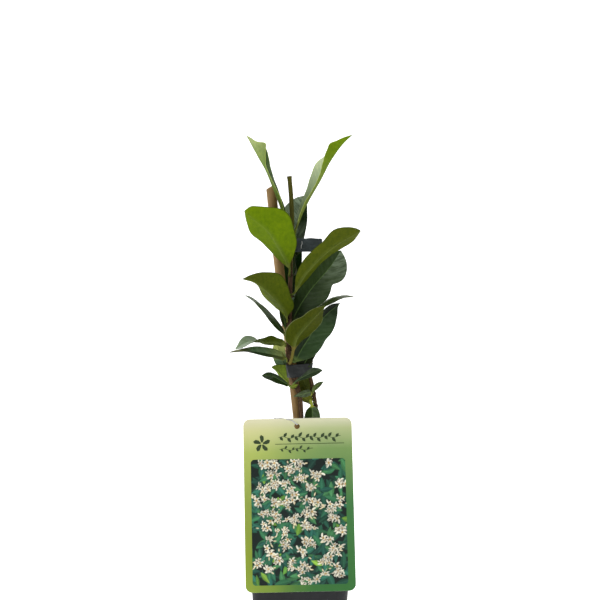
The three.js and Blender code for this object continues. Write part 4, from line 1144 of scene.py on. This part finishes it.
def buildTies():
    steel = newMaterial("staple steel", metalLook, tape["steel"])
    tie = tape["upper"]
    x, y, radius = circleAt("main", tie["z"])
    start = x + radius + tape["gap"] + tape["slack"] + tape["thickness"] / 2
    tie["stapleX"] -= start
    addTie("upper", tie["flagEnd"] - start, np.array([start, y - tie["flagBack"], tie["z"]]), np.eye(3), steel)
    tie = tape["lower"]
    quarter = np.array([[0, 1, 0], [-1, 0, 0], [0, 0, 1]])
    addTie("lower", tie["tailLength"], np.array([tie["tailX"], tie["tailStart"], tie["z"]]), quarter, steel)


buildTies()
print("ties")


# pot and soil

pot = {
    "height": 100, "rimWidth": 88, "rimDepth": 8, "neckWidth": 84, "baseWidth": 71, "footWidth": 68,
    "wall": 1.2, "corner": 8, "holeReach": 22, "holes": (4, 2.6),  # radii of the holes at the corners and the sides
    "colour": (23, 25, 27), "pale": (36, 38, 41), "scratch": (84, 84, 88), "dust": (98, 84, 70),
}
soil = {
    "top": 89, "edge": 1, "crown": 1.6, "reach": 40, "gap": 0.15, "clods": 260, "rings": 46,
    "lumps": [(9, 3.1, 1.0), (2.6, 7.7, 0.55)],  # width, layer of the noise, height
    "dark": (42, 28, 20), "brown": (78, 54, 36), "pale": (126, 98, 70), "dry": (96, 70, 48),
}


def potWidth(z):
    return pot["baseWidth"] + (pot["neckWidth"] - pot["baseWidth"]) * z / (pot["height"] - pot["rimDepth"])


def buildPot():
    high, neck, wall, corner = pot["height"], pot["height"] - pot["rimDepth"], pot["wall"], pot["corner"]
    rim, foot = pot["rimWidth"], pot["footWidth"]
    profile = [  # width, corner radius, height: up the outside, over the rim and down the inside
        (foot - 8, corner - 4, 0.5), (foot - 1, corner - 1.6, 0), (foot, corner - 1.5, 0),
        (foot + 1.2, corner - 1, 0.25), (foot + 2.4, corner - 0.4, 0.8), (potWidth(1.6), corner, 1.7),
        (potWidth(3), corner, 3), *((potWidth(z), corner, z) for z in np.linspace(8, neck - 3, 12)),
        (pot["neckWidth"] - 0.1, corner, neck - 0.8), (pot["neckWidth"] + 0.3, corner + 0.1, neck - 0.2),
        (rim - 1.2, corner + 1.6, neck + 0.1), (rim - 0.3, corner + 1.9, neck + 0.5), (rim, corner + 2, neck + 1.2),
        (rim, corner + 2, high - 1.4), (rim - 0.25, corner + 1.9, high - 0.6), (rim - 0.9, corner + 1.6, high - 0.1),
        (rim - 1.8, corner + 1.2, high), (rim - 2.8, corner + 0.8, high - 0.3),
        (rim - 3.3, corner + 0.6, high - 1.2), (pot["neckWidth"] - 2 * wall, corner - wall, neck - 2),
        *((potWidth(z) - 2 * wall, corner - wall, z) for z in np.linspace(neck - 10, 4, 8)),
        (potWidth(2) - 2 * wall - 1.5, corner - wall - 0.5, 1.9), (60, corner - 3, 1.6),
    ]
    body = skin([squareRing(*row) for row in profile])
    shell = newPiece("pot_shell", body, [newMaterial("pot plastic", potLook)], "pot_plastic", "pot")
    for x in (-1, 0, 1):
        for y in (-1, 0, 1):
            if (x, y) != (0, 0):
                cutHole(shell, x * pot["holeReach"], y * pot["holeReach"], pot["holes"][1 if x * y == 0 else 0])
    shell.data.set_sharp_from_angle(angle=math.radians(40))


def cutHole(shell, x, y, radius):
    rings = [np.column_stack([circle(radius, 32) + (x, y), np.full(32, z)]) for z in (-4, 4)]
    cutter = newPiece("cutter", skin(rings), [])
    change = shell.modifiers.new("hole", "BOOLEAN")
    change.object = cutter
    change.operation = "DIFFERENCE"
    change.solver = "EXACT"
    bpy.context.view_layer.objects.active = shell
    bpy.ops.object.modifier_apply(modifier="hole")
    bpy.data.objects.remove(cutter)


def potLook(flow):
    grain, marks = flow.grain(0.5, 4), flow.grain((18, 18, 60), 4)
    scratch, dust = flow.grain((0.6, 0.6, 9), 3), flow.grain(3, 5, 0.7)
    colour = flow.mix(marks.step(0.35, 0.7) * 0.5, pot["colour"], pot["pale"])
    colour = colour.over(scratch.step(0.66, 0.74) * 0.2, pot["scratch"])
    colour = colour.over(dust.step(0.58, 0.75) * 0.16, pot["dust"])
    roughness = 0.4 + grain * 0.15 + dust.step(0.5, 0.8) * 0.15
    return finish(colour, roughness, 0.25, (grain * 0.7 + scratch * 0.3).bump(0.1, 0.4))


def soilWidth(z):
    return potWidth(z) - 2 * (pot["wall"] + soil["gap"])


def soilHeight(x, y):
    height = soil["top"] + soil["crown"] * (1 - (max(abs(x), abs(y)) / soil["reach"]) ** 2)
    for width, layer, rise in soil["lumps"]:
        height += noise.noise(Vector((x / width, y / width, layer))) * rise
    return height


def buildSoil():
    top, corner = soil["top"], pot["corner"] - pot["wall"]
    rings = [squareRing(soilWidth(z), corner, z, perSide=36) for z in (2.2, 30, 60, 84)]
    for share in np.linspace(1, 0.02, soil["rings"]):
        ring = squareRing(soilWidth(top), corner, 0, perSide=36) * share
        ring[:, 2] = [soilHeight(x, y) - (soil["edge"] if share > 0.97 else 0) for x, y in ring[:, :2]]
        rings.append(ring)
    bodies = [skin(rings)]
    kinds = [0] * len(bodies[0][1])
    stems = [circleAt(name, top) for name in ("cane", "main", "second")]
    draw = random.Random(5)
    while len(bodies) < soil["clods"]:
        x, y = draw.uniform(-38.5, 38.5), draw.uniform(-38.5, 38.5)
        size = 0.5 + 2.1 * draw.random() ** 3
        if any(math.hypot(x - cx, y - cy) < r + size * 0.8 for cx, cy, r in stems):
            continue
        points, faces = clod(draw, size)
        bodies.append((points + np.array([x, y, soilHeight(x, y) + size * 0.15]), faces))
        kinds += [1 if draw.random() < 0.2 else 0] * len(faces)
    materials = [newMaterial("compost", soilLook), newMaterial("bark chips", chipLook)]
    newPiece("soil_compost", joined(bodies), materials, "compost", "soil", kinds)


def clod(draw, size):  # a lumpy little ball, often flattened like a chip of bark
    mesh = bmesh.new()
    bmesh.ops.create_icosphere(mesh, subdivisions=2, radius=1)
    squash = Vector((draw.uniform(0.7, 1.7), draw.uniform(0.6, 1.1), draw.uniform(0.3, 0.8))) * size
    turn = Matrix.Rotation(draw.uniform(0, math.pi), 3, "Z") @ Matrix.Diagonal(squash)
    off = Vector((draw.uniform(0, 50), 0, 0))
    points = [turn @ v.co * (1 + 0.35 * noise.noise(v.co * 1.6 + off)) for v in mesh.verts]
    faces = [[v.index for v in face.verts] for face in mesh.faces]
    mesh.free()
    return np.array(points), faces


def soilLook(flow):
    crumb, clouds = flow.grain(1.1, 6, 0.7), flow.grain(12, 3)
    colour = flow.mix(crumb.step(0.35, 0.7), soil["dark"], soil["brown"])
    colour = colour.over(clouds.step(0.5, 0.8) * 0.5, soil["dry"])
    return finish(colour, 0.95, 0.15, crumb.bump(0.8, 0.9))


def chipLook(flow):
    grain = flow.grain((0.5, 2.5, 0.7), 5, 0.6)
    return finish(flow.mix(grain.step(0.35, 0.7), soil["brown"], soil["pale"]), 0.9, 0.15, grain.bump(0.4, 0.8))


buildPot()
buildSoil()
print("pot and soil")


# the label: a printed card on a loop of wire

label = {
    "width": 89.6, "length": 142.6, "thickness": 0.6, "corner": 5.5,
    "spare": 0.8,  # how much wider the card is on its right side
    "holeRadius": 2.4, "holeDown": 6.6, "holeX": -2.5, "top": 206.1, "lean": 10.7, "turn": 1.2,
    "picture": (-39, 39.5, -130.4, -27.2),  # left, right, bottom and top of the printed picture
    "pictureCorner": 2.8,
    "pitch": 0.33,  # between the picture's points
    "print": 0.04,  # how thick the dark print is
    "printAt": 0.32,  # above the middle of the card
    "rule": (-18.5, 38.9, -14.9, -14.4),
    "sprigs": [(-9.2, -15.5, 36.1, 4.6), (-19.2, -14.8, 13, 3.4)],  # how high, from, to, length of their leaves
    "sprigHalf": 0.22,  # half the width of its stem
    "sprigSwing": 0.75,
    "sprigPace": 0.52,
    "leafFirst": 1.2,
    "leafStep": 3.1,
    "leafTurn": 52,
    "leafWide": 0.27,
    "flower": (-29.6, -14),
    "petal": [(1.0, -0.55), (3.4, -1.7), (6.0, -1.5), (7.4, 0.6), (5.8, 1.8), (3.4, 1.3), (1.0, 0.55)],
    "leftTones": [(0, (222, 217, 184)), (0.07, (208, 207, 146)), (0.2, (174, 187, 96)), (0.5, (147, 161, 70)),
                  (0.8, (143, 157, 48)), (1, (150, 168, 60))],
    "rightTones": [(0, (214, 212, 182)), (0.06, (176, 186, 134)), (0.18, (118, 148, 86)), (0.5, (62, 116, 64)),
                   (0.8, (56, 112, 56)), (1, (52, 108, 52))],
    "fleck": (90, 110, 50), "back": (226, 226, 214), "backCloud": (208, 210, 192),
    "ink": ((44, 58, 34), (56, 72, 42)), "pictureDot": (30, 40, 34),
}
lean = math.radians(label["lean"])
leanOn = -pot["rimWidth"] / 2 - 0.3 - label["thickness"] / 2
labelFrame = Matrix.Translation(Vector((
    label["holeX"],
    leanOn + (label["top"] - pot["height"]) * math.tan(lean) - label["holeDown"] * math.sin(lean),
    label["top"] - label["holeDown"] * math.cos(lean),
)) / 1000) @ Matrix.Rotation(math.pi / 2 - lean, 4, "X") @ Matrix.Rotation(math.radians(label["turn"]), 4, "Z")


def onLabel(piece, stands=None):  # the piece's own axes are the label's: x to its right, y up it and z out of it
    piece.matrix_world = labelFrame
    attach(piece, "root")
    if stands:
        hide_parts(stands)


def flatShape(name, outlines, thick, bevel, z, material):
    # a flat plate in the label's own plane; further outlines are holes
    curve = bpy.data.curves.new(name, "CURVE")
    curve.dimensions = "2D"
    curve.fill_mode = "BOTH"
    curve.extrude = thick / 2000 - bevel / 1000
    curve.bevel_depth = bevel / 1000
    curve.bevel_resolution = 1
    for line in outlines:
        spline = curve.splines.new("POLY")
        spline.points.add(len(line) - 1)
        for point, (x, y) in zip(spline.points, line):
            point.co = (x / 1000, y / 1000, 0, 1)
        spline.use_cyclic_u = True
    shape = newObject(name, curve)
    bpy.context.view_layer.update()
    mesh = bpy.data.meshes.new_from_object(shape)
    bpy.data.objects.remove(shape)
    mesh.transform(Matrix.Translation((0, 0, z / 1000)))
    mesh.materials.clear()
    mesh.materials.append(material)
    return newObject(name, mesh)


def printed(name, outlines, material, bevel=0.004):  # dark shapes that may overlap, as one piece on the card
    mesh = bmesh.new()
    for line in outlines:
        shape = flatShape(name, [line], label["print"], bevel, label["printAt"], material)
        mesh.from_mesh(shape.data)
        bpy.data.objects.remove(shape)
    made = bpy.data.meshes.new(name)
    mesh.to_mesh(made)
    mesh.free()
    made.materials.append(material)
    onLabel(newObject(name, made))


def turned(outline, turn, place):
    c, s = math.cos(turn), math.sin(turn)
    return np.asarray(outline) @ np.array([[c, s], [-s, c]]) + place


def sprigOutlines():
    outlines = []
    for high, first, last, leafLong in label["sprigs"]:
        def swing(x):
            return high + label["sprigSwing"] * np.sin((x - first) * label["sprigPace"])

        steps = np.linspace(first, last, 60)
        line = np.stack([steps, swing(steps)], 1)
        outlines.append(np.vstack([line + (0, label["sprigHalf"]), line[::-1] - (0, label["sprigHalf"])]))
        for k in range(int((last - first) / label["leafStep"])):  # leaves, one side after the other
            x = first + label["leafFirst"] + k * label["leafStep"]
            t = np.linspace(0, 1, 10)
            size = (0.85 + 0.1 * (k % 3), label["leafWide"])
            blade = leafLong * np.stack([t, np.sin(np.pi * t**0.8)], 1) * size
            blade = np.vstack([blade, blade[-2:0:-1] * (1, -1)])
            turn = math.radians(label["leafTurn"] * (1 if k % 2 else -1))
            outlines.append(turned(blade, turn, (x, swing(x))))
    return outlines


def cardLook(flow):
    spot = flow.place()
    down = (label["holeDown"] - spot.axis(1)) / label["length"]
    left, right = (flow.node("ValToRGB", {"stops": label[key]}, {0: down}) for key in ("leftTones", "rightTones"))
    soft, grain = flow.grain((30, 45, 30), 2), flow.grain(0.25, 2)
    share = (spot.axis(0) + (soft - 0.5) * 24 + down * 15).step(-50, 33)
    colour = flow.mix(share, left, right).over(grain * 0.08, label["fleck"])
    return finish(colour, 0.34 + grain * 0.08, 0.35, flow.grain((26, 40, 20), 2).bump(0.8, 0.25))


def cardBackLook(flow):
    grain = flow.grain(0.4, 3)
    colour = flow.mix(flow.grain(20, 3).step(0.3, 0.7) * 0.35, label["back"], label["backCloud"])
    return finish(colour, 0.45 + grain * 0.1, 0.3, grain.bump(0.05, 0.4))


def inkLook(flow):
    grain = flow.grain(0.3, 2)
    return finish(flow.mix(grain, *label["ink"]), 0.38 + grain * 0.05, 0.35)


def pictureLook(flow):
    grain = flow.grain(0.25, 2)
    colour = flow.attribute("ink", "Color").over(grain.step(0.4, 0.8) * 0.12, label["pictureDot"])
    return finish(colour, 0.36 + grain * 0.06, 0.35)


def lit(colour, light):
    return np.array(rgb(*colour)[:3]) * light


class Painting:
    # a picture as colours on a grid of points, in millimetres
    def __init__(self, left, right, bottom, top, pitch):
        self.x, self.y = np.meshgrid(np.arange(left, right, pitch), np.arange(bottom, top, pitch))
        self.colour = np.zeros(self.x.shape + (3,))
        self.pitch = pitch

    def window(self, x, y, reach):
        n = int(reach / self.pitch) + 2
        middle = int((y - self.y[0, 0]) / self.pitch), int((x - self.x[0, 0]) / self.pitch)
        return tuple(slice(max(i - n, 0), max(min(i + n, most), 0)) for i, most in zip(middle, self.x.shape))

    def lay(self, part, share, colour):
        share = np.clip(share, 0, 1)[..., None]
        self.colour[part] = self.colour[part] * (1 - share) + colour * share

    def leaf(self, x, y, angle, length, width, colour, soft=0.35):
        part = self.window(x, y, length)
        dx, dy = self.x[part] - x, self.y[part] - y
        u = (dx * math.cos(angle) + dy * math.sin(angle)) / (length / 2)
        v = (dy * math.cos(angle) - dx * math.sin(angle)) / (width / 2)
        shape = (1 - np.clip(np.abs(u), 0, 1) ** 1.7) * (1 - 0.2 * u)
        inside = ease(shape - np.abs(v), -soft * 2 / width, soft * 2 / width) * (np.abs(u) < 1)
        self.lay(part, 0.35 * ease(shape * 1.3 - np.abs(v), -0.3, 0.9) * (np.abs(u) < 1.1), np.zeros(3))
        shade = 0.82 + 0.26 * (v > 0) + 0.18 * np.cos(v * 2.2) - 0.12 * u
        veins = 0.06 * np.cos((u * length / 2 - np.abs(v) * width * 0.4) * 3.2)
        rib = np.exp(-((v * width / 0.5) ** 2))[..., None]
        self.lay(part, inside, colour * (shade + veins)[..., None] + rib * 0.35 * (colour * 0.6 + 0.03))

    def blossom(self, x, y, size, turn, tilt, tiltTo, cream, heart):
        part = self.window(x, y, size * 1.5)
        dx, dy = self.x[part] - x, self.y[part] - y
        a = dx * math.cos(tiltTo) + dy * math.sin(tiltTo)
        b = (dy * math.cos(tiltTo) - dx * math.sin(tiltTo)) / tilt
        r = np.hypot(a, b) / size
        self.lay(part, 0.5 * np.exp(-((r / 1.05) ** 4)), np.zeros(3))
        sector = (np.arctan2(b, a) + turn + 0.5 * r) * 5 / fullTurn + 0.5
        petal = sector % 1 - 0.5
        r = r * (1 + 0.22 * np.sin(np.floor(sector) * 2.4 + turn * 7))  # no two petals are equally long
        wide = 0.16 + 0.44 * np.sqrt(np.clip(r, 0.001, 1)) * (1 - np.clip(r, 0, 1) ** 4)
        off = np.abs(petal) * fullTurn / 5 * np.clip(r, 0.05, 2) * 2
        edge = 0.26 / size
        inside = ease(wide * 0.62 * np.clip(r * 3, 0, 1) - off * 0.72, -edge, edge) * ease(r, 1.04, 0.92)
        crease = 0.2 * np.exp(-((petal / 0.05) ** 2)) * (r < 0.8)
        shade = 0.84 + 0.2 * (petal > 0) * ease(r, 0.1, 0.6) + 0.08 * r - crease
        warm = 0.55 * ease(r, 0.5, 0.12)[..., None]
        self.lay(part, inside, cream * shade[..., None] * (1 - warm) + heart * warm)
        self.lay(part, ease(r, 0.24, 0.14), heart)
        self.lay(part, ease(r, 0.1, 0.05) * 0.7, heart * 0.35)


blossoms = {
    "layers": [(200, "deep", 8, 15), (150, "middle", 8, 16), (18, "bright", 8, 13)],  # leaves: count, tones, lengths
    "clusters": 46,
    "apart": 8.8,
    "tries": 4000,
    "shade": (18, 30, 26),
    "deep": [(24, 62, 52), (28, 74, 56), (20, 52, 42), (34, 84, 66)],
    "middle": [(40, 96, 70), (52, 112, 74), (34, 88, 74), (62, 118, 72), (44, 104, 84)],
    "bright": [(120, 168, 62), (138, 184, 70), (96, 150, 60)],
    "cream": (255, 251, 228), "heart": (206, 158, 56), "bud": (236, 222, 178),
}


def paintBlossoms():
    # jasmine in bloom: deep shade, layers of leaves, then loose clusters of blossoms and buds
    left, right, bottom, top = label["picture"]
    art = Painting(left, right, bottom, top, label["pitch"])
    draw = random.Random(23)
    dapple = np.random.default_rng(11).random(art.x.shape)
    art.colour[:] = lit(blossoms["shade"], (0.7 + 0.5 * dapple)[..., None])
    for count, key, low, high in blossoms["layers"]:
        for _ in range(count):
            length = draw.uniform(low, high)
            colour = lit(draw.choice(blossoms[key]), draw.uniform(0.6, 1.25))
            art.leaf(draw.uniform(left - 3, right + 3), draw.uniform(bottom - 3, top + 3), draw.uniform(0, 6.28),
                     length, length * draw.uniform(0.3, 0.42), colour)
    centres, tries = [], 0
    while len(centres) < blossoms["clusters"] and tries < blossoms["tries"]:
        tries += 1
        spot = (draw.uniform(left + 3, right - 3), draw.uniform(bottom + 3, top - 3))
        if all(math.dist(spot, other) > blossoms["apart"] for other in centres):
            centres.append(spot)
    for cx, cy in centres:
        for _ in range(3):
            length = draw.uniform(8, 12)
            colour = lit(draw.choice(blossoms["middle"]), draw.uniform(0.8, 1.3))
            turn = draw.uniform(0, 6.28)
            art.leaf(cx + 6 * math.cos(turn), cy + 6 * math.sin(turn), turn, length, length * 0.36, colour)
        for _ in range(draw.randint(3, 8)):
            turn, reach = draw.uniform(0, 6.28), draw.uniform(0, 5.4)
            light = draw.uniform(0.62, 1.0)
            art.blossom(cx + reach * math.cos(turn), cy + reach * math.sin(turn) * 0.9, draw.uniform(2.4, 4.0),
                        draw.uniform(0, 6.28), draw.uniform(0.5, 1.0), draw.uniform(0, 3.14),
                        lit(blossoms["cream"], light), lit(blossoms["heart"], light))
        for _ in range(draw.randint(1, 3)):
            turn, reach = draw.uniform(0, 6.28), draw.uniform(4, 7)
            art.leaf(cx + reach * math.cos(turn), cy + reach * math.sin(turn), turn, draw.uniform(2.2, 3.6), 1.1,
                     lit(blossoms["bud"], draw.uniform(0.7, 0.95)))
    return art


def buildPicture(material):
    art = paintBlossoms()
    rows, columns = art.x.shape
    left, right, bottom, top = label["picture"]
    corner = label["pictureCorner"]
    spots = np.stack([art.x, art.y])
    spots[0, :, -1], spots[1, -1, :] = right, top
    middle = np.array([left + right, bottom + top])[:, None, None] / 2
    size = np.array([right - left, top - bottom])[:, None, None] / 2
    past = np.abs(spots - middle) - size + corner
    reach = np.hypot(*past)
    isCut = (past > 0).all(0) & (reach > corner)
    pull = np.where(isCut, corner / np.maximum(reach, 1e-6), 1)  # corner points go to the round
    spots -= np.sign(spots - middle) * np.where(pull < 1, past * (1 - pull), 0)
    i, j = np.meshgrid(np.arange(rows - 1), np.arange(columns - 1), indexing="ij")
    first = i * columns + j
    faces = np.stack([first, first + 1, first + columns + 1, first + columns], -1).reshape(-1, 4)
    faces = faces[~(pull < 0.93).ravel()[faces].all(1)]
    ink = np.dstack([np.clip(art.colour, 0, 1), np.ones(art.x.shape)]).reshape(-1, 4)
    points = np.dstack([*spots, np.full(art.x.shape, label["thickness"] / 2 + 0.03)]).reshape(-1, 3)
    onLabel(newPiece("label_picture", (points, faces.tolist()), [material], notes={"ink": ink}))


def buildLabel():
    side, down = label["width"] / 2, label["holeDown"]
    cardFront, cardBack = newMaterial("label card", cardLook), newMaterial("label back", cardBackLook)
    edge = roundedBox(-side, side + label["spare"], down - label["length"], down, label["corner"])
    outlines = [edge, circle(label["holeRadius"], 40)]
    card = flatShape("label_card", outlines, label["thickness"], 0.08, 0, cardFront)
    card.data.materials.append(cardBack)
    for face in card.data.polygons:
        face.material_index = 1 if face.normal.z < 0.5 else 0
    onLabel(card, "label")
    ink = newMaterial("dark print", inkLook)
    printed("label_rule", [roundedBox(*label["rule"], 0.2, 3)], ink, 0.005)
    printed("label_vine", sprigOutlines(), ink)
    petals = [turned(label["petal"], fullTurn * k / 5 + 0.3, label["flower"]) for k in range(5)]
    printed("label_flower", petals, ink)
    buildPicture(newMaterial("printed picture", pictureLook))


wire = {
    "radius": 0.46,
    "points": [
        (-2.6, -25.4, 201.2), (-4, -27.9, 202.6), (-7.4, -27.7, 205), (-11, -25, 205.3), (-16.5, -18, 205.8),
        (-22, -9, 205.1), (-20, -0.5, 203.6), (-12, 4.4, 202.8), (-3, 4.7, 202.8), (2.7, 2.4, 202.8),
        (4.5, -2.5, 202.8), (4.1, -7, 202.6), (2.3, -11.5, 202.6), (0.4, -16.5, 202.6), (-1.6, -22, 201.6),
    ],
    "looks": {
        "grain": 0.5, "tones": ((196, 196, 194), (150, 152, 154)), "metal": 0.2, "roughness": 0.35, "depth": 0.05,
    },
}


def buildWire():
    places, ways, _ = along(wire["points"], 321, isLoop=True)
    body = skin(tubeRings(places[:-1], ways[:-1], wire["radius"], 12), isLoop=True)
    newPiece("label_wire_loop", body, [newMaterial("wire", metalLook, wire["looks"])], "wire", "label_wire")


buildLabel()
buildWire()
print("label")
